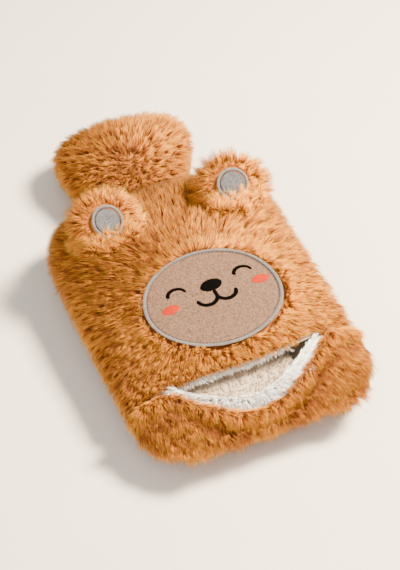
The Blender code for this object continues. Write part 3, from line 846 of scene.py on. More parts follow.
@dataclass(frozen=True)
class Pile:
    """How one kind of pile stands: the size of its strands and how they gather."""

    length: float = 0.0132
    radius: float = 0.00048
    tip: float = 0.55          # radius short of the tip against the root's
    steps: int = 3             # points along a strand, the last its tip
    bend: float = 0.50         # a strand leans over by this from root to tip
    gather: float = 0.50       # how far tips are drawn to their clump's middle
    swing: float = 0.24        # uneven direction of the clumps
    stray: float = 0.15        # uneven direction of the strands
    uneven: float = 0.22       # uneven length
    sink: float = 0.0009       # how deep the root lies in the cloth
    contrast: float = 0.34     # uneven tone of the strands

    def paths(self, roots: Roots, turn: Array, stretch: Array) -> Array:
        """Points along strands before they gather.

        Args:
            roots: Where they stand.
            turn: The angle that each one turns from the comb's direction.
            stretch: Each one's length against the pile's.

        Returns:
            Points as strands by steps by 3.
        """
        across = np.cross(roots.normals, roots.flow)
        comb = np.cos(turn)[:, None] * roots.flow + np.sin(turn)[:, None] * across
        length = self.length * stretch * roots.stretch
        lean = np.arccos(np.clip(roots.depth / length, LYING, UPRIGHT))
        points = [roots.points - roots.normals * self.sink]
        parts = self.steps - 1
        for part in range(parts):
            share = (part + 0.5) / parts - 0.5
            angle = np.clip(lean + self.bend * share, 0.0, FLATTEST)[:, None]
            heading = np.cos(angle) * roots.normals + np.sin(angle) * comb
            points.append(points[-1] + heading * (length / parts)[:, None])
        return np.stack(points, axis=1)


class Clumps:
    """Guides that strands gather to, so that pile stands in tufts."""

    def __init__(self, roots: Roots, count: int, rng: np.random.Generator) -> None:
        """Picks the guides.

        Args:
            roots: Roots to pick them from.
            count: How many guides.
            rng: Source of the unevenness.
        """
        chosen = rng.choice(len(roots.points), min(count, len(roots.points)), replace=False)
        self.roots = roots.pick(chosen)
        self.turn = rng.normal(0.0, 1.0, len(chosen))
        self.stretch = rng.normal(0.0, 1.0, len(chosen))
        self.tone = rng.normal(0.0, 1.0, len(chosen))
        self.tree = KDTree(len(chosen))
        for index, point in enumerate(self.roots.points):
            self.tree.insert(point, index)
        self.tree.balance()

    def owners(self, points: Array) -> Array:
        """The nearest guide of each point."""
        return np.array([self.tree.find(point)[1] for point in points])

    def grow(self, name: str, pile: Pile, roots: Roots, rng: np.random.Generator) -> Object:
        """Strands on their roots, drawn to their guides.

        Args:
            name: The object's name.
            pile: The kind of pile.
            roots: Where the strands stand.
            rng: Source of the unevenness.

        Returns:
            The strands as one mesh object.
        """
        count = len(roots.points)
        owner = self.owners(roots.points)
        guide_turn = self.turn * pile.swing
        guide_stretch = np.clip(1.0 + self.stretch * pile.uneven, *CLUMP_LENGTH)
        guides = pile.paths(self.roots, guide_turn, guide_stretch)[owner]
        turn = guide_turn[owner] + rng.normal(0.0, pile.stray, count)
        stretch = guide_stretch[owner] * rng.uniform(1.0 - pile.uneven, STRAND_LENGTH, count)
        paths = pile.paths(roots, turn, stretch)
        share = np.linspace(0.0, 1.0, pile.steps) ** PULL_CURVE
        pull = pile.gather * rng.uniform(*STRAND_PULL, count)[:, None] * share[None]
        paths += pull[:, :, None] * (guides - paths)
        paths[..., 2] = np.maximum(paths[..., 2], FLOOR_CLEAR + pile.radius * pile.tip)
        thin = np.linspace(1.0, pile.tip, pile.steps - 1)
        radii = pile.radius * thin[None] * rng.uniform(*STRAND_WIDTH, count)[:, None]
        uneven = CLUMP_TONE * self.tone[owner] + rng.normal(0.0, 1.0, count)
        slow = patchy(roots.points, SLOW_SIZES[0], 1.0) + patchy(roots.points, SLOW_SIZES[1], 4.0)
        tone = 0.5 + roots.tone + pile.contrast * uneven + SLOW_TONE * slow
        return strand_mesh(name, paths, radii, roots.normals, tone)


class Surface:
    """The side of a cloth that pile stands on."""

    def __init__(self, piece: Object) -> None:
        """Reads the cloth.

        Args:
            piece: A cloth whose points know how deep their pile is.
        """
        mesh = piece.data
        self.corners = triangles_of(piece)
        self.points = read(mesh.vertices, "co", 3)
        self.normals = read(mesh.vertices, "normal", 3)
        self.depth = read(mesh.attributes[DEPTH].data, "value", 1)
        first, second, third = (self.points[self.corners[:, k]] for k in range(3))
        self.middles = (first + second + third) / 3.0
        self.area = np.linalg.norm(np.cross(second - first, third - first), axis=1) / 2.0

    def scatter(self, count: int, weight: Array, rng: np.random.Generator) -> tuple[Array, ...]:
        """Even places over the triangles.

        Args:
            count: How many places.
            weight: How densely each triangle is covered.
            rng: Source of the unevenness.

        Returns:
            Points, normals and depths.
        """
        total = np.cumsum(self.area * weight)
        steps = (np.arange(count) + rng.random(count)) / count * total[-1]
        chosen = self.corners[np.minimum(np.searchsorted(total, steps), len(total) - 1)]
        root, share = np.sqrt(rng.random(count)), rng.random(count)
        weights = np.stack([1.0 - root, root * (1.0 - share), root * share], axis=1)
        points = np.einsum("ij,ijk->ik", weights, self.points[chosen])
        normals = unit(np.einsum("ij,ijk->ik", weights, self.normals[chosen]))
        return points, normals, np.einsum("ij,ij->i", weights, self.depth[chosen])


@dataclass(frozen=True)
class Core:
    """A box in the middle of a form, which tells its outer side from its inner one."""

    low: Triple
    high: Triple

    def out(self, points: Array) -> Array:
        """Directions from the box to each point."""
        return unit(points - np.clip(points, self.low, self.high))


# ---- panels of plush ----------------------------------------------------------
@dataclass
class Plush:
    """A panel of plush: its backing cloth, and the pile on one side of it.

    The methods up to out() say how this pile differs from place to place. Each takes points
    of the panel, and some take their normals, and it returns a row for each point.
    """

    node: str
    core: Core
    locks: int
    hairs: int
    seed: int
    flat: Span | None = None   # size that it is cut to, where it is a sheet
    area: float | None = None  # its flat area, where that isn't all of this size
    held: Held = Held.LAID
    rests_on: tuple[str, ...] = ()
    slot: Slot = Slot.GINGER
    depth: float = 0.0070      # height of the pile over its cloth
    inset: float = 0.0070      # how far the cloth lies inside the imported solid
    bite: float = 0.62         # share of a thin wall that the pile may take
    cover: float = 0.0030      # a solid nearer than this hides the pile
    look: float = 0.9          # share of the pile's height at which it is looked for
    levels: int = 1            # how often the cloth's faces are split
    spacing: float = 0.0033    # from clump to clump
    lock: Pile = Pile()
    hair: Pile = Pile(length=0.0140, radius=0.00027, steps=2, gather=0.3, stray=0.22, contrast=0.36)
    pile_finish: PileFinish = FUR_PILE
    backing_finish: ClothFinish = FUR_BACKING
    outer: Ease = Ease(0.10, 0.50)     # cloth that faces out by this has pile
    rooted: Span = (0.1, 0.3)  # pile grows where it is this deep, as shares of its depth
    steepest: float = 0.6      # cloth is moved in as if it faced out by this at least

    def __post_init__(self) -> None:
        """Starts the source of the panel's unevenness."""
        self.rng = np.random.default_rng(self.seed)

    def flow(self, points: Array, normals: Array) -> Array:
        """Where the pile is combed to, at points of the cloth."""
        return np.tile(-UP, (len(points), 1))

    def bare(self, points: Array) -> Array:
        """True where another piece covers the cloth, so that it has no pile."""
        return np.zeros(len(points), bool)

    def stretch(self, points: Array) -> Array:
        """Length of the pile at points of the cloth, against its usual one."""
        return np.ones(len(points))

    def tone(self, points: Array) -> Array:
        """How much lighter or darker the pile is at points of the cloth."""
        return np.zeros(len(points))

    def flush(self, points: Array) -> Array:
        """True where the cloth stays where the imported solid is."""
        return self.bare(points)

    def crowded(self, points: Array) -> Array:
        """True where pile shows although another piece is near."""
        return np.zeros(len(points), bool)

    def rise(self, points: Array, normals: Array) -> Array:
        """Which way the pile stands up, at points of the cloth."""
        return normals

    def sinking(self, points: Array, normals: Array) -> Array:
        """How far the cloth lies in at points of the solid, against its usual inset."""
        return np.ones(len(points))

    def stand(self, points: Array) -> Array:
        """How high the pile stands at points of the solid, against its usual height."""
        return np.ones(len(points))

    def weight(self, points: Array, normals: Array) -> Array:
        """How densely the pile stands at points of the cloth."""
        return np.ones(len(points))

    def out(self, points: Array, normals: Array) -> Array:
        """Directions from the panel's inside to its points."""
        return self.core.out(points)

    def build_cloth(self) -> Object:
        """The backing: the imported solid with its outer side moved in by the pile.

        Returns:
            The cloth, whose points hold the depth of their pile.
        """
        cloth = copy_of(self.node, self.node + "_cloth")
        subdivide(cloth, self.levels)
        tree = tree_of(cloth)
        mesh = cloth.data
        points, normals = read(mesh.vertices, "co", 3), read(mesh.vertices, "normal", 3)
        out = self.out(points, normals)
        faces_out = dot(normals, out)[:, 0]
        share = self.outer(faces_out)
        share[self.flush(points)] = 0.0
        inset = self.inset * share * self.sinking(points, normals)
        for index in np.flatnonzero(share > 0.0):
            start = Vector(points[index] - out[index] * RAY_START)
            wall = tree.ray_cast(start, Vector(-out[index]), self.depth * 3.0)[3]
            if wall is not None:
                inset[index] = min(inset[index], wall * self.bite)
        move_points(cloth, points - out * (inset / np.maximum(faces_out, self.steepest))[:, None])
        layer = mesh.attributes.new(DEPTH, "FLOAT", "POINT")
        layer.data.foreach_set("value", (self.depth * share * self.stand(points)).astype(np.float32))
        mesh.update()
        Wardrobe.dress(cloth, self.backing_finish)
        return cloth

    def roots_on(self, surface: Surface, count: int, others: BVHTree) -> Roots:
        """Even roots over the outer side, without those that nothing shows.

        Args:
            surface: The cloth's side with the pile.
            count: How many roots to try.
            others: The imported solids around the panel.

        Returns:
            The roots that show.
        """
        normals = unit(surface.normals[surface.corners].mean(axis=1))
        low, high = (share * self.depth for share in self.rooted)
        deep = smooth(surface.depth[surface.corners].mean(axis=1), low, high)
        weight = deep * self.weight(surface.middles, normals)
        points, normals, depth = surface.scatter(count, weight, self.rng)
        normals = self.rise(points, normals)
        flow = self.flow(points, normals)
        flow = unit(flow - normals * dot(normals, flow))
        roots = Roots(points, normals, depth, flow, self.stretch(points), self.tone(points))
        starts = points + normals * (depth * self.look)[:, None]
        clear = [others.ray_cast(Vector(p), Vector(n), self.cover)[0] is None
                 for p, n in zip(starts, normals)]
        return roots.pick((np.array(clear) | self.crowded(points)) & ~self.bare(points))

    def build_pile(self, cloth: Object) -> list[Object]:
        """Curved locks and fine hairs on the cloth.

        Args:
            cloth: The finished backing.

        Returns:
            The locks and, where there are any, the hairs.
        """
        surface = Surface(cloth)
        others = tree_of(*(o for name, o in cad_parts.items() if name != self.node))
        roots = self.roots_on(surface, self.locks, others)
        deep = surface.depth[surface.corners].mean(axis=1) > self.rooted[1] * self.depth
        covered = surface.area[deep].sum()
        clumps = Clumps(roots, int(covered / self.spacing ** 2), self.rng)
        parts = math.ceil(len(roots.points) / MOST_LOCKS)
        pile = [clumps.grow(f"{self.node}_locks_{part + 1}", self.lock,
                            roots.pick(slice(part, None, parts)), self.rng) for part in range(parts)]
        if self.hairs:
            roots = self.roots_on(surface, self.hairs, others)
            pile.append(clumps.grow(self.node + "_hairs", self.hair, roots, self.rng))
        for piece in pile:
            Wardrobe.dress(piece, self.pile_finish)
            settle(piece, self.slot)
        return pile

    def build(self) -> None:
        """Builds the panel: its cloth, then its pile."""
        cloth = self.build_cloth()
        pile = self.build_pile(cloth)
        settle(cloth, self.slot, self.node)
        self.declare(cloth, pile)

    def declare(self, cloth: Object, pile: list[Object]) -> None:
        """Does nothing."""


class Brim:
    """The upper edge of a panel, found strip by strip across it."""

    half: float = 0.115        # more than half the cover's width
    strip: float = 0.004

    def __init__(self, points: Array) -> None:
        """Finds the edge.

        Args:
            points: The panel's points.
        """
        edge = np.full(int(2.0 * self.half / self.strip) + 3, -1.0)
        np.maximum.at(edge, self.strips(points) + 1, points[:, 1])
        self.edge = np.maximum(edge[1:-1], np.maximum(edge[:-2], edge[2:]))

    def strips(self, points: Array) -> Array:
        """The strip that each point lies in."""
        return ((points[:, 0] + self.half) / self.strip).astype(int)

    def at(self, points: Array) -> Array:
        """Where the edge lies beside each point."""
        return self.edge[self.strips(points)]

    def below(self, points: Array) -> Array:
        """How far each point lies short of the edge."""
        return self.at(points) - points[:, 1]


BODY_CORE = Core((-0.060, -0.130, 0.033), (0.060, 0.050, 0.033))
NOWHERE = Core((0.0, 0.0, 0.0), (0.0, 0.0, 0.0))   # of a piece that has no need of one


@dataclass
class FrontPanel(Plush):
    """The front, from the shoulders over the face to the upper edge of the slot."""

    node: str = "front_panel"
    core: Core = Core((-0.060, -0.112, 0.033), (0.060, 0.050, 0.033))
    locks: int = 25500
    hairs: int = 40000
    seed: int = 11
    flat: Span = (0.25, 0.225)
    held: Held = Held.STRETCHED
    fall: float = 0.42         # how much the pile hangs towards the foot
    sag: float = 0.35          # and down the sides
    hem: float = 0.95          # pile starts here under the patch's edge,
    hem_high: float = 0.043    # at this height and over it
    close: Ease = Ease(1.02, 1.16, 2.3, 1.0)              # by the patch: how closely it stands,
    sunk_under: Ease = Ease(0.9, 1.0, 0.28, 0.50)         # how far the cloth is sunk,
    sunk_beside: Ease = Ease(1.0, 1.22, 0.0, 0.50)
    high_beside: Ease = Ease(0.98, 1.08, 0.74, 1.0)       # how high the pile stands
    long_beside: Ease = Ease(1.0, 1.2, 0.90, 1.0)         # and how long it is
    slot_edge: Ease = Ease(-0.135, -0.120, 0.52, 1.0)     # length along the slot
    corner: Ease = Ease(0.035, 0.050, 0.0, 0.45)          # and less where the slot gapes
    hood_foot: Ease = Ease(0.048, 0.068)                  # painted shade under the hood, up from here,
    hood_side: Ease = Ease(0.032, 0.060, 1.0, 0.0)        # as far across as this
    hood_middle: float = -0.010
    forehead: Ease = Ease(-0.030, 0.020, 0.0, 0.2)        # painted shade up the forehead,
    chin: Ease = Ease(-0.090, -0.040, 0.58, 0.08)         # painted light down the chin,
    brushed: Ease = Ease(1.05, 1.6, 1.0, 0.0)             # near the patch, where the fur falls away from the lamps and is brushed flat
    ear_middle: float = 0.0025          # between the ears
    ear_foot: Span = (0.0540, 0.0110)   # from there to the middle of their foot
    ear_width: float = 0.55    # the foot's depth against its width
    ear_near: Ease = Ease(0.012, 0.026, 1.0, 0.0)
    ear_level: Ease = Ease(0.040, 0.055)
    ear_sink: float = 0.5      # at the foot: how much less the cloth is sunk,
    ear_high: float = 0.45     # how much higher the pile stands
    ear_long: float = 0.20     # and how much longer it is
    ear_crowd: float = 0.25    # pile shows from here on, though the ear is near

    def from_face(self, points: Array) -> Array:
        """Distance from the face's middle: 1 on the patch's edge."""
        return np.linalg.norm((points[:, :2] - FACE_MIDDLE) / FACE_HALF, axis=1)

    def by_ear(self, points: Array) -> Array:
        """1 at the foot of the ears, where the pile rises over them.

        Args:
            points: Points of the panel.

        Returns:
            A value from 0 to 1 for each.
        """
        out = np.abs(points[:, 0] - self.ear_middle) - self.ear_foot[0]
        near = np.hypot(out * self.ear_width, points[:, 1] - self.ear_foot[1])
        return self.ear_near(near) * self.ear_level(points[:, 2])

    def flow(self, points: Array, normals: Array) -> Array:
        """Away from the face, and a little down.

        Args:
            points: Points of the panel.
            normals: Their normals.

        Returns:
            The direction at each.
        """
        away = np.zeros_like(points)
        away[:, :2] = points[:, :2] - FACE_MIDDLE
        return unit(away) + np.array((0.0, -self.fall, -self.sag))

    def bare(self, points: Array) -> Array:
        """True under the patch, but for its edge, where the pile comes out from under it."""
        return (self.from_face(points) < self.hem) & (points[:, 2] > self.hem_high)

    def flush(self, points: Array) -> Array:
        """Nowhere, for the patch is sewn to sunk cloth."""
        return np.zeros(len(points), bool)

    def crowded(self, points: Array) -> Array:
        """True at the foot of the ears."""
        return self.by_ear(points) > self.ear_crowd

    def sinking(self, points: Array, normals: Array) -> Array:
        """Least under the patch, and less beside it and the ears."""
        beside = self.sunk_under(self.from_face(points)) + self.sunk_beside(self.from_face(points))
        return beside * (1.0 - self.ear_sink * self.by_ear(points))

    def stand(self, points: Array) -> Array:
        """Higher at the foot of the ears, lower beside the patch."""
        return self.high_beside(self.from_face(points)) + self.ear_high * self.by_ear(points)

    def stretch(self, points: Array) -> Array:
        """Shorter beside the patch and along the slot, longer by the ears.

        Args:
            points: Points of the panel.

        Returns:
            The pile's length at each, against its usual one.
        """
        edge = self.slot_edge(points[:, 1])
        by_slot = (1.0 - edge) / (1.0 - self.slot_edge.first)
        edge *= 1.0 - self.corner(points[:, 0]) * by_slot
        return self.long_beside(self.from_face(points)) * edge * (1.0 + self.ear_long * self.by_ear(points))

    def weight(self, points: Array, normals: Array) -> Array:
        """Close beside the patch."""
        return self.close(self.from_face(points))

    def tone(self, points: Array) -> Array:
        """Painted light under the patch, where the fur is also brushed flat, and painted shade under the
        hood and up the forehead.

        Args:
            points: Points of the panel.

        Returns:
            The change of tone at each.
        """
        hood = self.hood_foot(points[:, 1]) * self.hood_side(np.abs(points[:, 0] - self.hood_middle))
        chin = self.chin(points[:, 1]) * self.brushed(self.from_face(points))
        return chin - hood - self.forehead(points[:, 1])


@dataclass
class PocketPanel(Plush):
    """The panel under the slot, with its soft lip."""

    node: str = "pocket_panel"
    core: Core = Core((-0.070, -0.187, 0.022), (0.070, -0.140, 0.030))
    locks: int = 8500
    hairs: int = 13000
    seed: int = 12
    flat: Span = (0.215, 0.065)
    area: float | None = 0.0085
    held: Held = Held.HUNG
    depth: float = 0.0056
    spacing: float = 0.0030
    lock: Pile = Pile(length=0.0118, gather=0.28, swing=0.16, stray=0.13)
    under_lip: float = 0.016   # the line that the pile stands away from, below the lip
    roll: Span = (0.0070, 0.0065)       # its middle below the lip, and its width
    crease: Span = (0.0195, 0.0060)     # the same of the crease
    fold_sink: float = 0.60    # how much less the cloth is sunk on the roll
    fold_tone: float = 0.7     # painted light on the roll and painted shade in the crease
    foot: Ease = Ease(-0.195, -0.180, 0.7, 1.0)           # height of the pile up from the foot
    lip: Ease = Ease(0.001, 0.008, 0.55, 1.0)             # and down from the lip
    lip_turn: Ease = Ease(0.001, 0.006, 1.0, 0.0)         # down from the lip the pile turns out
    lip_up: Triple = (0.0, 0.3, 1.4)
    comb: Triple = (0.0, -1.0, -0.45)
    spread: float = 3.0
    brim: Brim | None = field(default=None, init=False)

    def out(self, points: Array, normals: Array) -> Array:
        """From a line along the foot that stays under the lip.

        Args:
            points: Points of the solid, which the lip is found by.
            normals: Their normals.

        Returns:
            The direction at each.
        """
        self.brim = Brim(points)
        middle = np.clip(points, self.core.low, self.core.high)
        under = np.maximum(self.brim.at(points) - self.under_lip, self.core.low[1])
        middle[:, 1] = np.minimum(middle[:, 1], under)
        return unit(points - middle)

    def fold(self, points: Array) -> Array:
        """1 on the roll along the lip, -1 in the crease under it."""
        roll, crease = ((self.brim.below(points) - down) / width for down, width in (self.roll, self.crease))
        return np.exp(-roll ** 2) - np.exp(-crease ** 2)

    def sinking(self, points: Array, normals: Array) -> Array:
        """Less on the roll, more in the crease."""
        return 1.0 - self.fold_sink * self.fold(points)

    def rise(self, points: Array, normals: Array) -> Array:
        """Up along the lip, and straight out elsewhere."""
        return unit(normals + self.lip_turn(self.brim.below(points))[:, None] * np.array(self.lip_up))

    def stand(self, points: Array) -> Array:
        """Flatter at the lip, where the white tufts roll over it, and at the foot."""
        return self.foot(points[:, 1]) * self.lip(self.brim.below(points))

    def tone(self, points: Array) -> Array:
        """Painted light on the roll and painted shade in the crease."""
        return self.fold_tone * self.fold(points)

    def flow(self, points: Array, normals: Array) -> Array:
        """Down to the foot, spreading a little."""
        return np.array(self.comb) + points * (self.spread, 0.0, 0.0)


@dataclass
class BackPanel(Plush):
    """The panel that the cover lies on, turned up to the side seam."""

    node: str = "back_panel"
    core: Core = BODY_CORE
    locks: int = 5500
    hairs: int = 7000
    seed: int = 13
    flat: Span = (0.26, 0.31)
    area: float | None = 0.075
    comb: Triple = (0.0, -0.6, -0.8)
    length: float = 0.9        # against the pile in front
    pressed: float = -0.8      # normals lower than this lie on the floor
    sparse: float = 0.28       # how densely the pile stands there

    def flow(self, points: Array, normals: Array) -> Array:
        """Down the sides, and to the foot underneath."""
        return np.tile(self.comb, (len(points), 1))

    def weight(self, points: Array, normals: Array) -> Array:
        """Sparser underneath, where it is pressed flat."""
        return np.where(normals[:, 2] < self.pressed, self.sparse, 1.0)

    def stretch(self, points: Array) -> Array:
        """A little shorter than in front."""
        return np.full(len(points), self.length)


@dataclass
class NeckHood(Plush):
    """The flared hood over the bottle's neck."""

    node: str = "neck_hood"
    core: Core = Core((-0.020, 0.085, 0.028), (0.034, 0.172, 0.030))
    locks: int = 8800
    hairs: int = 14000
    seed: int = 14
    depth: float = 0.0085
    inset: float = 0.0040
    flat: Span = (0.28, 0.115)
    area: float | None = 0.030
    dimple: Triple = (0.004, 0.127, 0.060)
    dimple_width: float = 0.017
    dimple_tone: float = 0.75  # how much painted shade darkens it
    foot: Ease = Ease(0.078, 0.128, -0.55, 0.15)          # painted shade down to the shoulders, painted light on top
    top: float = 0.6           # how much less the cloth is sunk on top
    fall: float = 0.15         # how much the pile hangs towards the foot
    sag: float = 0.4           # and down the sides

    def tone(self, points: Array) -> Array:
        """Painted shade in its dimple and down to its foot, painted light on top.

        Args:
            points: Points of the hood.

        Returns:
            The change of tone at each.
        """
        away = np.linalg.norm((points - self.dimple)[:, :2], axis=1) / self.dimple_width
        dimple = np.exp(-away ** 2) * (points[:, 2] > self.core.high[2])
        return self.foot(points[:, 1]) - self.dimple_tone * dimple

    def sinking(self, points: Array, normals: Array) -> Array:
        """Less on top, where the pile stands up."""
        return 1.0 - self.top * np.maximum(normals[:, 2], 0.0)

    def flow(self, points: Array, normals: Array) -> Array:
        """Away from its dimple, and down."""
        away = (points - self.dimple) * (1.0, 1.0, 0.0)
        return unit(away) + np.array((0.0, -self.fall, -self.sag))


STITCH_SHARE = 0.66        # a stitch's length against the way to the next
STITCH_SINK = 0.0001       # how deep its ends lie
STITCH_ARCH = np.sin(np.linspace(0.0, math.pi, 5))   # its rise along it


def stitch_angles(count: int) -> Array:
    """Angles of even stitches in a ring, a row of 5 along each."""
    starts = np.arange(count) / count * math.tau
    return starts[:, None] + np.linspace(0.0, STITCH_SHARE, 5) * math.tau / count


@dataclass
class Ear(Plush):
    """A plump ear with its suede disc, satin ring and ring of stitches."""

    node: str = ""
    core: Core = NOWHERE
    locks: int = 4100
    hairs: int = 6500
    seed: int = 15
    side: Side = Side.LEFT
    depth: float = 0.0065
    inset: float = 0.0060
    cover: float = 0.0012
    spacing: float = 0.0032
    levels: int = 2
    middle: float = 0.0025     # between the ears
    reach: float = 0.0580      # from there to the ear's own middle
    along: float = 0.0242      # that middle's Y and Z
    height: float = 0.0825
    tilt: float = math.radians(38.0)
    turn: float = math.radians(9.0)
    disc: float = 0.0113       # radius of the disc
    disc_edge: float = 0.06    # its rounded edge, as a share of the radius
    disc_flat: float = 0.1     # faces that meet at less than this angle are joined first
    disc_up: float = 0.0030
    disc_top: float = 0.0071   # over the ear's middle plane
    ring: float = 0.0129       # radius of the ring's middle
    ring_width: float = 0.0026
    ring_high: float = 0.0018
    ring_sink: float = 0.18    # of its height, below the disc's top
    ring_uneven: float = 0.008     # of its size,
    ring_waves: int = 13       # in so many waves
    stitches: int = 26
    stitch_radius: float = 0.00026
    stitch_inset: float = 0.0005   # from the ring's inner edge
    stitch_rise: float = 0.00035
    hub: float = 0.0190        # out to here the ear's front and back are nearly flat
    fill: float = 0.8          # how much it is stuffed
    sunk: Ease = Ease(0.0, 0.013, 0.05, 1.0)              # out from the ring: how far cloth is sunk,
    high: Ease = Ease(0.0, 0.008, 0.5, 1.0)               # how high the pile stands
    long: Ease = Ease(0.001, 0.009, 0.6, 1.05)            # and how long it is
    tuft_down: Ease = Ease(0.004, 0.012)                  # the tuft under the disc, from its middle
    tuft_front: Ease = Ease(-0.004, 0.001)                # and from the middle plane
    tuft_high: float = 1.15
    tuft_long: float = 0.95
    tuft_comb: Triple = (0.25, 1.0, 0.4)                  # mirrored on the left
    front: Ease = Ease(-0.010, 0.0, -1.0, 1.0)            # out in front, and in at the back
    over: float = 0.6          # how much the pile falls over the rim
    sag: float = 0.15          # and down
    rim_tone: Ease = Ease(0.020, 0.030, 0.26, 0.40)       # painted light, from the disc's axis out, most at the rim
    # painted light beside the ring, where the dish lies in shade
    ring_tone: Ease = Ease(0.014, 0.021, 0.3, 0.0)

    def __post_init__(self) -> None:
        """Places the ear."""
        super().__post_init__()
        self.node = "ear_" + self.side.word
        turn = Euler((self.tilt, 0.0, -self.side.value * self.turn), "XYZ").to_matrix()
        middle = Vector((self.middle + self.side.value * self.reach, self.along, self.height))
        place = Matrix.Translation(middle) @ turn.to_4x4()
        self.place, self.back = np.array(place), np.array(place.inverted())
        self.core = Core(tuple(middle), tuple(middle))

    def inside(self, points: Array) -> Array:
        """Points in the ear's own frame: across, up, and out of the dish."""
        return points @ self.back[:3, :3].T + self.back[:3, 3]

    def turned(self, directions: Array) -> Array:
        """Directions of the ear's own frame in the cover's."""
        return directions @ self.place[:3, :3].T

    def world(self, points: Array) -> Array:
        """Points of the ear's own frame in the cover's."""
        return self.turned(points) + self.place[:3, 3]

    def from_disc(self, points: Array) -> Array:
        """Distance from the disc's axis."""
        own = self.inside(points)
        return np.hypot(own[:, 0], own[:, 1] - self.disc_up)

    def from_ring(self, points: Array) -> Array:
        """Distance from the ring, out from the disc."""
        return self.from_disc(points) - self.ring

    def low(self, points: Array) -> Array:
        """How far a point lies in the tuft under the disc, from 0 to 1."""
        own = self.inside(points)
        return self.tuft_down(-own[:, 1]) * self.tuft_front(own[:, 2])

    def out(self, points: Array, normals: Array) -> Array:
        """From a flat round in the ear's middle plane.

        Args:
            points: Points of the ear.
            normals: Their normals.

        Returns:
            The direction at each.
        """
        own = self.inside(points)
        across = np.maximum(np.hypot(own[:, 0], own[:, 1]), TINY)
        own[:, :2] *= (1.0 - np.minimum(self.hub / across, 1.0))[:, None]
        return unit(self.turned(own))

    def bare(self, points: Array) -> Array:
        """True under the disc and its ring."""
        return (self.inside(points)[:, 2] > 0.0) & (self.from_disc(points) < self.ring)

    def sinking(self, points: Array, normals: Array) -> Array:
        """Less beside the ring, which lies on the cloth."""
        return self.sunk(self.from_ring(points))

    def stand(self, points: Array) -> Array:
        """Flatter beside the ring, higher at the disc's foot."""
        low = self.low(points)
        return self.high(self.from_ring(points)) * (1.0 - low) + self.tuft_high * low

    def stretch(self, points: Array) -> Array:
        """Short beside the ring, longer where it falls over the disc's foot."""
        low = self.low(points)
        return self.long(self.from_ring(points)) * (1.0 - low) + self.tuft_long * low

    def flow(self, points: Array, normals: Array) -> Array:
        """Outwards in front and over the rim down the back, but up over the disc's foot.

        Args:
            points: Points of the ear.
            normals: Their normals.

        Returns:
            The direction at each.
        """
        own, low = self.inside(points), self.low(points)[:, None]
        out = unit((own - (0.0, self.disc_up, 0.0)) * (1.0, 1.0, 0.0))
        flow = out * self.front(own[:, 2:]) + np.array((0.0, 0.0, -self.over))
        flow = flow * (1.0 - low) + low * np.array(self.tuft_comb) * (self.side.value, 1.0, 1.0)
        return self.turned(flow) + np.array((0.0, 0.0, -self.sag))

    def tone(self, points: Array) -> Array:
        """Painted light at the rim and beside the ring, where the dish is in shade."""
        return self.rim_tone(self.from_disc(points)) + self.ring_tone(self.from_disc(points))

    def declare(self, cloth: Object, pile: list[Object]) -> None:
        """Does nothing."""

    def build_disc(self) -> None:
        """The suede disc, with a softly rounded edge."""
        disc = copy_of("inner_ear_" + self.side.word, "ear_disc_" + self.side.word)
        select_only(disc)
        bpy.ops.object.mode_set(mode="EDIT")
        bpy.ops.mesh.select_all(action="SELECT")
        bpy.ops.mesh.dissolve_limited(angle_limit=self.disc_flat)
        bpy.ops.mesh.inset(thickness=self.disc * self.disc_edge)
        bpy.ops.mesh.quads_convert_to_tris()
        bpy.ops.object.mode_set(mode="OBJECT")
        subdivide(disc, 2)
        Wardrobe.dress(disc, GREY_SUEDE)
        settle(disc, Slot.GREY, "inner_ear_" + self.side.word)

    def build_ring(self) -> None:
        """The satin ring over the disc's edge."""
        ring = torus("ear_ring_" + self.side.word, self.ring, self.ring_width / 2.0, 72, 10)
        points = read(ring.data.vertices, "co", 3)
        angle = np.arctan2(points[:, 1], points[:, 0])
        points[:, 2] *= self.ring_high / self.ring_width
        points *= (1.0 + self.ring_uneven * np.sin(angle * self.ring_waves + self.seed))[:, None]
        points += (0.0, self.disc_up, self.disc_top - self.ring_high * self.ring_sink)
        move_points(ring, self.world(points))
        Wardrobe.dress(ring, GREY_SATIN)
        settle(ring, Slot.SATIN, "ear_trim_" + self.side.word)

    def build_stitches(self) -> None:
        """The ring of stitches inside the satin ring."""
        radius = self.ring - self.ring_width / 2.0 - self.stitch_inset
        lift = self.disc_top + self.stitch_rise * STITCH_ARCH - STITCH_SINK
        paths = []
        for angle in stitch_angles(self.stitches):
            ring = np.stack([radius * np.cos(angle), radius * np.sin(angle) + self.disc_up, lift], axis=1)
            paths.append(self.world(ring))
        ups = np.tile(self.place[:3, 2], (self.stitches, 1))
        name = "ear_stitches_" + self.side.word
        stitches = thread_mesh(name, np.array(paths), self.stitch_radius, ups)
        Wardrobe.dress(stitches, STITCH_THREAD)
        settle(stitches, Slot.SATIN)

    def build(self) -> None:
        """Builds the ear and what is sewn to it."""
        super().build()
        self.build_disc()
        self.build_ring()
        self.build_stitches()


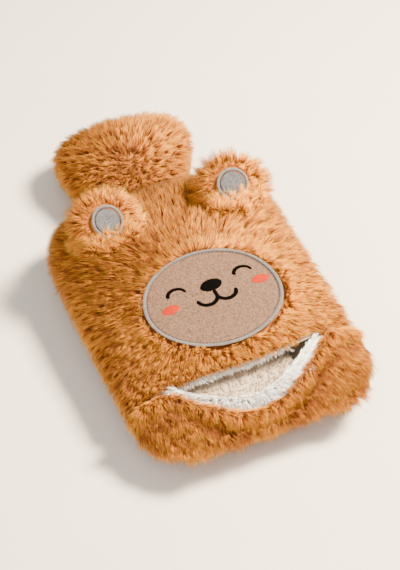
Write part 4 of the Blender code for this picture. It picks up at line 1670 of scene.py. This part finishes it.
# ---- white plush lining -------------------------------------------------------
@dataclass
class Lining(Plush):
    """A piece of white plush lining, in short curly tufts."""

    hairs: int = 0
    seed: int = 20
    slot: Slot = Slot.SHERPA
    depth: float = 0.0030
    inset: float = 0.0018
    bite: float = 0.36
    cover: float = 0.0020
    spacing: float = 0.0030
    lock: Pile = Pile(length=0.0050, radius=0.00050, bend=0.9, gather=0.6, swing=1.2,
                      stray=0.5, sink=0.0006)
    pile_finish: PileFinish = SHERPA_PILE
    backing_finish: ClothFinish = SHERPA_BACKING
    comb: Triple = (0.0, -0.6, 0.4)
    tumble: float = 1.6        # how far tufts stray from the comb
    tuft: float = 0.004        # size of what strays together
    shade: float = 0.4         # painted light that lightens the pile; below 0, painted shade
    until: float = 1.0         # no tufts further across than this

    def out(self, points: Array, normals: Array) -> Array:
        """Along the normals, so that there is pile on all its sides."""
        return normals

    def weight(self, points: Array, normals: Array) -> Array:
        """None beyond its end."""
        return (points[:, 0] < self.until).astype(float)

    def tone(self, points: Array) -> Array:
        """The same all over."""
        return np.full(len(points), self.shade)

    def flow(self, points: Array, normals: Array) -> Array:
        """Mostly along its comb, each tuft its own way."""
        loose = np.stack([patchy(points, self.tuft, turn) for turn in (0.3, 2.1, 5.2)], axis=1)
        return np.array(self.comb) + self.tumble * loose


@dataclass
class PocketWall(Lining):
    """The wall between the pocket and the bottle, with painted light up under the slot's edge, where that
    edge shades it.
    """

    # painted light towards the upper edge, against the shade of the slot's edge
    upper: Ease = Ease(-0.142, -0.112, 0.0, 1.1)

    def tone(self, points: Array) -> Array:
        """Painted light towards its upper edge."""
        return self.shade + self.upper(points[:, 1])


@dataclass
class PocketLining(Lining):
    """The lining in the pocket, which rolls out over its lip."""

    node: str = "lining_pocket"
    core: Core = NOWHERE
    locks: int = 10500
    seed: int = 21
    flat: Span = (0.15, 0.020)
    held: Held = Held.HUNG
    rests_on: tuple[str, ...] = ("pocket_panel",)
    depth: float = 0.0094
    inset: float = 0.0010
    spacing: float = 0.0027
    cover: float = 0.0060
    look: float = 0.2
    # painted light: whiter tufts where the lip lies in shade
    shade: float = 0.9
    lock: Pile = Pile(length=0.0124, radius=0.00052, tip=0.75, bend=1.8, gather=0.25,
                      swing=0.3, stray=0.2, uneven=0.2, sink=0.0006, contrast=0.08)
    slot_middle: Triple = (-0.004, -0.140, 0.040)
    away: Triple = (0.6, 1.0, 0.0)      # how far the pile is combed away from it, by axis
    lift: float = 0.25
    corner: Ease = Ease(0.045, 0.065, 1.0, 0.7)           # length at the corner that gapes
    turned_up: Ease = Ease(0.2, 0.7, 1.0, 3.0)            # densest where it faces up
    up: Triple = (0.0, 0.0, 1.4)        # how much the pile stands up over the lip

    def stretch(self, points: Array) -> Array:
        """Shorter at the corner that gapes."""
        return self.corner(points[:, 0])

    def weight(self, points: Array, normals: Array) -> Array:
        """Closest along the lip, where the lining turns up."""
        return self.turned_up(normals[:, 2])

    def rise(self, points: Array, normals: Array) -> Array:
        """Up, so that the tufts fall over the lip."""
        return unit(normals + np.array(self.up))

    def flow(self, points: Array, normals: Array) -> Array:
        """Away from the slot, over the lip."""
        return unit((points - self.slot_middle) * self.away) + (0.0, 0.0, self.lift)


def build_linings() -> None:
    """The four pieces of lining that show in the slot."""
    PocketLining().build()
    # painted light: the fringe is whitened, as it hangs in the front panel's shade
    Lining(
        "lining_front", NOWHERE, locks=3000, seed=22, flat=(0.15, 0.030), held=Held.HUNG,
        rests_on=("front_panel",), comb=(0.0, -1.0, 0.15), tumble=0.6, depth=0.0020, inset=0.0010,
        until=0.044, shade=1.0,
        lock=Pile(length=0.0058, radius=0.00048, bend=0.5, gather=0.6, swing=0.35, stray=0.25,
                  uneven=0.25, sink=0.0005),
    ).build()
    # painted shade: the darker copy of the white pile, lowered further by its shade value
    PocketWall(
        "pocket_back", NOWHERE, locks=4000, seed=23, flat=(0.125, 0.10), held=Held.STRETCHED,
        rests_on=("lining_back",), depth=0.0028, inset=0.0016, shade=-0.2, comb=(0.6, 0.8, 0.0),
        pile_finish=SHADED_WHITE_PILE, backing_finish=SHADED_WHITE_BACKING,
        tumble=0.7, lock=Pile(length=0.0066, radius=0.00050, bend=0.7, gather=0.6, swing=0.6,
                              stray=0.3, uneven=0.2, sink=0.0005),
    ).build()
    # painted shade in the pocket's far corner: the darker copy of the white pile, lifted a little by its
    # shade value
    Lining(
        "lining_back", NOWHERE, locks=1500, seed=24, flat=(0.16, 0.22), rests_on=("back_panel",),
        depth=0.0020, inset=0.0004, shade=0.9, pile_finish=SHADED_WHITE_PILE,
        backing_finish=SHADED_WHITE_BACKING,
    ).build()


# ---- the face -----------------------------------------------------------------
class Relief:
    """Height of a piece seen from above."""

    def __init__(self, piece: Object) -> None:
        """Reads a finished piece."""
        self.tree = tree_of(piece)

    def height(self, x: float, y: float) -> float:
        """The piece's top over a place of the floor."""
        return self.tree.ray_cast(Vector((x, y, 1.0)), Vector((0.0, 0.0, -1.0)))[0].z


@dataclass
class FacePatch:
    """The oval suede patch, its satin binding and the stitches along it."""

    flat: Span = (0.114, 0.088)
    area: float = 0.0079
    tuck: float = 0.0020       # how far the suede reaches under the binding
    binding_width: float = 0.0032
    binding_high: float = 0.0019
    binding_lift: float = 0.35     # its middle over the cloth, as a share of half its height
    swell: Span = (0.05, 0.04)     # unevenness of its width, in short waves and in long ones
    waves: Span = (31.0, 17.0)     # how many of each
    stitches: int = 118
    stitch_radius: float = 0.00042
    stitch_inset: float = 0.0009   # from the binding's inner edge
    stitch_rise: float = 0.0004
    beside: float = 0.0004     # the suede's height is read this far inside the binding
    relief: Relief | None = field(default=None, init=False)

    def ring_point(self, angle: float, inset: float) -> Span:
        """A point of the oval, moved in from its edge."""
        return (FACE_MIDDLE[0] + (FACE_HALF[0] - inset) * math.cos(angle),
                FACE_MIDDLE[1] + (FACE_HALF[1] - inset) * math.sin(angle))

    def build_patch(self) -> None:
        """The suede, slightly crowned and pressed in at its edge."""
        patch = copy_of("face_patch", "face_suede")
        points = read(patch.data.vertices, "co", 3)
        low, high = points[:, :2].min(axis=0), points[:, :2].max(axis=0)
        reach = np.array(FACE_HALF) - self.binding_width + self.tuck
        points[:, :2] = FACE_MIDDLE + (points[:, :2] - (low + high) / 2.0) * 2.0 * reach / (high - low)
        move_points(patch, points)
        subdivide(patch, 2)
        Wardrobe.dress(patch, TAUPE_SUEDE)
        settle(patch, Slot.TAUPE, "face_patch")
        self.relief = Relief(patch)

    def build_binding(self) -> None:
        """The satin binding, a little uneven as it is sewn round."""
        cloth = Relief(bpy.data.objects["front_panel_cloth"])
        width, high, section = self.binding_width / 2.0, self.binding_high / 2.0, 0.1
        inner = self.binding_width + self.beside
        ring = torus("face_binding", 1.0, section, 220, 12)
        points = read(ring.data.vertices, "co", 3)
        for point in points:
            angle = math.atan2(point[1], point[0])
            outwards = (math.hypot(point[0], point[1]) - 1.0) / section
            upwards = point[2] / section
            x, y = self.ring_point(angle, width)
            normal = Vector((math.cos(angle) / FACE_HALF[0], math.sin(angle) / FACE_HALF[1])).normalized()
            swell = (1.0 + self.swell[0] * math.sin(angle * self.waves[0])
                     + self.swell[1] * math.sin(angle * self.waves[1] + 1.0))
            foot = max(self.relief.height(*self.ring_point(angle, inner)), cloth.height(x, y))
            point[:] = (x + normal.x * outwards * width * swell,
                        y + normal.y * outwards * width * swell,
                        foot + (self.binding_lift + upwards * swell) * high)
        move_points(ring, points)
        Wardrobe.dress(ring, GREY_SATIN)
        settle(ring, Slot.SATIN, "face_trim")

    def build_stitches(self) -> None:
        """Dashes of thread along the binding's inner edge."""
        inset = self.binding_width + self.stitch_inset
        paths = []
        for angles in stitch_angles(self.stitches):
            places = [self.ring_point(angle, inset) for angle in angles]
            lifts = self.stitch_rise * STITCH_ARCH - STITCH_SINK
            paths.append([(x, y, self.relief.height(x, y) + lift) for (x, y), lift in zip(places, lifts)])
        ups = np.tile(UP, (self.stitches, 1))
        stitches = thread_mesh("face_stitches", np.array(paths), self.stitch_radius, ups)
        Wardrobe.dress(stitches, STITCH_THREAD)
        settle(stitches, Slot.SATIN)

    def build(self) -> None:
        """Builds the patch and what is sewn round it."""
        self.build_patch()
        self.build_binding()
        self.build_stitches()


@dataclass(frozen=True)
class Bow:
    """A bow of the embroidery, in the face's own plan."""

    out: float                 # its middle, to each side
    up: float                  # how far up its ends lie
    half: float                # half the way between them
    rise: float                # its middle over its ends


@dataclass(frozen=True)
class Oval:
    """An oval of the embroidery, in the face's own plan."""

    out: float                 # its middle, to each side
    up: float
    half_width: float
    half_height: float
    high: float                # how far it stands up
    lens: float = 0.0          # how pointed its ends are, from 0, round, to 1


@dataclass
class Embroidery:
    """Smiling eyes, nose, mouth and cheeks in satin stitch."""

    relief: Relief
    middle: Span = (0.0039, -0.0588)
    turn: float = math.radians(2.6)
    thread: float = 0.00029    # radius of a thread
    pitch: float = 0.00046     # from thread to thread
    slant: float = 0.0004      # how far a thread of an oval leans to each side
    ragged: Span = (0.05, 0.03)     # uneven length of its threads, in two waves
    side_drop: float = 0.8     # how much its height falls to its sides,
    rim: float = 0.25          # and what is left at its rim
    dip: Span = (0.6, 0.9)     # how deep its threads dip, in radii: all along, more at their ends
    stroke_width: float = 0.0034
    stroke_high: float = 0.0012
    stroke_slant: float = 0.0003
    stroke_uneven: float = 0.06     # uneven width
    stroke_drop: float = 0.75  # of a stroke's height, from its middle to its sides
    eye: Bow = Bow(0.0305, 0.0012, 0.0079, 0.0062)
    eye_taper: float = 0.35    # how much narrower an eye's right end is
    mouth: Bow = Bow(0.0087, -0.0112, 0.0087, -0.0071)
    stem: Span = (-0.0060, -0.0126)
    nose: Oval = Oval(0.0, -0.0004, 0.0098, 0.0059, 0.0015)
    cheek: Oval = Oval(0.0412, -0.0098, 0.0079, 0.0048, 0.0007, 0.15)

    def on_patch(self, u: float, v: float, lift: float) -> Triple:
        """A place of the face's own plan, raised over the suede.

        Args:
            u: Its place across the face.
            v: Its place up the face.
            lift: How far over the suede.

        Returns:
            The place in the cover's frame.
        """
        x = self.middle[0] + u * math.cos(self.turn) - v * math.sin(self.turn)
        y = self.middle[1] + u * math.sin(self.turn) + v * math.cos(self.turn)
        return x, y, self.relief.height(x, y) + lift

    def stitch_oval(self, name: str, oval: Oval, side: int = 1) -> Object:
        """An oval filled with upright threads.

        Args:
            name: The piece's name.
            oval: The oval.
            side: -1 on the left of the face.

        Returns:
            The threads as one mesh.
        """
        count = int(2.0 * oval.half_width / self.pitch)
        paths = []
        for index in range(count):
            across = (index + 0.5) / count * 2.0 - 1.0
            chord = (1.0 - across * across) ** (0.5 + 0.4 * oval.lens)
            ragged = 1.0 + self.ragged[0] * math.sin(index * 2.4) + self.ragged[1] * math.sin(index * 5.1)
            path = []
            for along in np.linspace(-1.0, 1.0, 7):
                dome = max(0.0, 1.0 - across * across * self.side_drop - along * along)
                dip = self.thread * (self.dip[0] + self.dip[1] * along ** 4)
                lift = oval.high * (self.rim + (1.0 - self.rim) * dome) - dip
                path.append(self.on_patch(side * oval.out + oval.half_width * across + self.slant * along,
                                          oval.up + oval.half_height * chord * ragged * along, lift))
            paths.append(path)
        return thread_mesh(name, np.array(paths), self.thread, np.tile(UP, (count, 1)))

    def stitch_line(self, plan: Array, taper: float) -> Array:
        """Threads laid across a line.

        Args:
            plan: Points along the line in the face's plan, close together.
            taper: How much narrower its far end is.

        Returns:
            The threads' paths.
        """
        lengths = np.append(0.0, np.cumsum(np.linalg.norm(np.diff(plan, axis=0), axis=1)))
        total, half, near = lengths[-1], self.stroke_width / 2.0, 0.0004
        paths = []
        for reach in np.arange(self.pitch / 2.0, total, self.pitch):
            centre, ahead, behind = (
                np.array([np.interp(place, lengths, plan[:, k]) for k in range(2)])
                for place in (reach, reach + near, reach - near))
            along = unit(ahead - behind)
            across = np.array((-along[1], along[0]))
            end = 1.0 - min(reach, total - reach, half) / half
            wide = half * math.sqrt(1.0 - end ** 2) * (1.0 - taper * reach / total)
            wide *= 1.0 + self.stroke_uneven * math.sin(reach * 5200.0)
            path = []
            for share in np.linspace(-1.0, 1.0, 5):
                u, v = centre + across * wide * share + along * self.stroke_slant * share
                lift = (self.stroke_high - self.thread) * (1.0 - self.stroke_drop * share * share)
                path.append(self.on_patch(u, v, lift - self.thread * 0.5 * share ** 4))
            paths.append(path)
        return np.array(paths)

    def bow(self, shape: Bow, side: int) -> Array:
        """Points of a bow over or under its ends.

        Args:
            shape: The bow.
            side: -1 on the left of the face.

        Returns:
            Points along it in the face's plan.
        """
        angle = np.linspace(0.0, math.pi, 61)
        return np.stack([side * shape.out - shape.half * np.cos(angle),
                         shape.up + shape.rise * np.sin(angle)], axis=1)

    def finish(self, piece: Object, finish: BandFinish, slot: Slot, node: str) -> None:
        """Dresses an embroidered piece and sets it in the place of its node."""
        Wardrobe.dress(piece, finish)
        settle(piece, slot, node)

    def build_lines(self) -> None:
        """The eyes and the mouth."""
        for side in Side:
            paths = self.stitch_line(self.bow(self.eye, side.value), self.eye_taper)
            eye = thread_mesh(f"eye_threads_{side.word}", paths, self.thread, np.tile(UP, (len(paths), 1)))
            self.finish(eye, BLACK_THREAD, Slot.BLACK, "eye_" + side.word)
        stem = np.stack([np.zeros(20), np.linspace(*self.stem, 20)], axis=1)
        lines = [self.bow(self.mouth, side.value) for side in Side] + [stem]
        paths = np.concatenate([self.stitch_line(line, 0.0) for line in lines])
        mouth = thread_mesh("mouth_threads", paths, self.thread, np.tile(UP, (len(paths), 1)))
        self.finish(mouth, BLACK_THREAD, Slot.BLACK, "mouth")

    def build_ovals(self) -> None:
        """The nose and the cheeks."""
        nose = self.stitch_oval("nose_threads", self.nose)
        self.finish(nose, BLACK_THREAD, Slot.BLACK, "nose")
        for side in Side:
            cheek = self.stitch_oval("cheek_threads_" + side.word, self.cheek, side.value)
            self.finish(cheek, CORAL_THREAD, Slot.CORAL, "cheek_" + side.word)

    def build(self) -> None:
        """Builds all the embroidery."""
        self.build_lines()
        self.build_ovals()


# ---- studio -------------------------------------------------------------------
@dataclass(frozen=True)
class Lamp:
    """A square soft light."""

    name: str
    place: Triple
    size: float                # of its side
    watts: float
    colour: Colour


@dataclass
class Studio:
    """Camera, floor and soft daylight."""

    azimuth: float = math.radians(23.5)
    elevation: float = math.radians(48.5)
    distance: float = 1.376
    target: Triple = (0.0, -0.0588, 0.0)
    focal_pixels: float = 1600.0
    image: tuple[int, int] = (400, 570)
    axis_pixel: Span = (206.4, 338.5)   # where the target lies in the picture
    sensor: float = 36.0
    clip: Span = (0.05, 20.0)
    floor_size: float = 3.0
    lamps: tuple[Lamp, ...] = (
        Lamp("window", (0.82, -0.18, 1.25), 0.40, 136.0, (255, 236, 206)),
        Lamp("fill", (-0.6, -1.0, 1.1), 1.4, 15.0, (255, 250, 244)),
    )
    sky_colour: Colour = (255, 250, 243)
    sky_strength: float = 0.64

    def build_camera(self) -> None:
        """The camera at the photograph's angle."""
        a, e = self.azimuth, self.elevation
        right = Vector((math.cos(a), -math.sin(a), 0.0))
        back = Vector((-math.sin(a) * math.cos(e), -math.cos(a) * math.cos(e), math.sin(e)))
        up = back.cross(right)
        across = (self.image[0] / 2.0 - self.axis_pixel[0]) / self.focal_pixels
        above = (self.axis_pixel[1] - self.image[1] / 2.0) / self.focal_pixels
        heading = (right * across + up * above - back).normalized()
        own_right = heading.cross(up).normalized()
        own_up = own_right.cross(heading)
        turn = Matrix((own_right, own_up, -heading)).transposed().to_4x4()
        data = bpy.data.cameras.new("camera")
        data.sensor_width = self.sensor
        data.lens = self.focal_pixels * self.sensor / self.image[1]
        data.clip_start, data.clip_end = self.clip
        camera = bpy.data.objects.new("camera", data)
        place = Vector(self.target) + back * self.distance
        camera.matrix_world = Matrix.Translation(place) @ turn
        bpy.context.scene.collection.objects.link(camera)
        bpy.context.scene.camera = camera

    def build_floor(self) -> None:
        """A plain pale floor."""
        bpy.ops.object.select_all(action="DESELECT")
        bpy.ops.mesh.primitive_plane_add(size=self.floor_size)
        floor = bpy.context.object
        floor.name = floor.data.name = "floor"
        Wardrobe.dress(floor, FLOOR_FINISH)
        floor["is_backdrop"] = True

    def add_light(self, lamp: Lamp) -> None:
        """Hangs a lamp that faces the cover.

        Args:
            lamp: The lamp.
        """
        data = bpy.data.lights.new(lamp.name, "AREA")
        data.shape, data.size, data.energy = "SQUARE", lamp.size, lamp.watts
        data.color = linear(lamp.colour)[:3]
        light = bpy.data.objects.new(lamp.name, data)
        light.location = lamp.place
        heading = Vector(self.target) - Vector(lamp.place)
        light.rotation_euler = heading.to_track_quat("-Z", "Y").to_euler()
        bpy.context.scene.collection.objects.link(light)

    def build_lights(self) -> None:
        """Daylight from the upper right, a soft fill, and the sky."""
        for lamp in self.lamps:
            self.add_light(lamp)
        world = bpy.data.worlds.new("sky")
        world.use_nodes = True
        sky = world.node_tree.nodes["Background"]
        Shader.set(sky, {"Color": linear(self.sky_colour), "Strength": self.sky_strength})
        bpy.context.scene.world = world

    def build(self) -> None:
        """Builds the camera, the floor and the lights."""
        self.build_camera()
        self.build_floor()
        self.build_lights()


def main() -> None:
    """Builds the cover piece by piece in its studio."""
    logging.basicConfig(level=logging.INFO, format="%(name)s: %(message)s")
    Studio().build()
    FrontPanel().build()
    PocketPanel().build()
    BackPanel().build()
    NeckHood().build()
    Ear(side=Side.LEFT, seed=15).build()
    Ear(side=Side.RIGHT, seed=16).build()
    build_linings()
    face = FacePatch()
    face.build()
    Embroidery(face.relief).build()
    shown = [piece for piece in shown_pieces() if piece.type == "MESH"]
    LOG.info("%d pieces, %d triangles", len(shown), sum(len(triangles_of(piece)) for piece in shown))


if __name__ == "__main__":
    main()
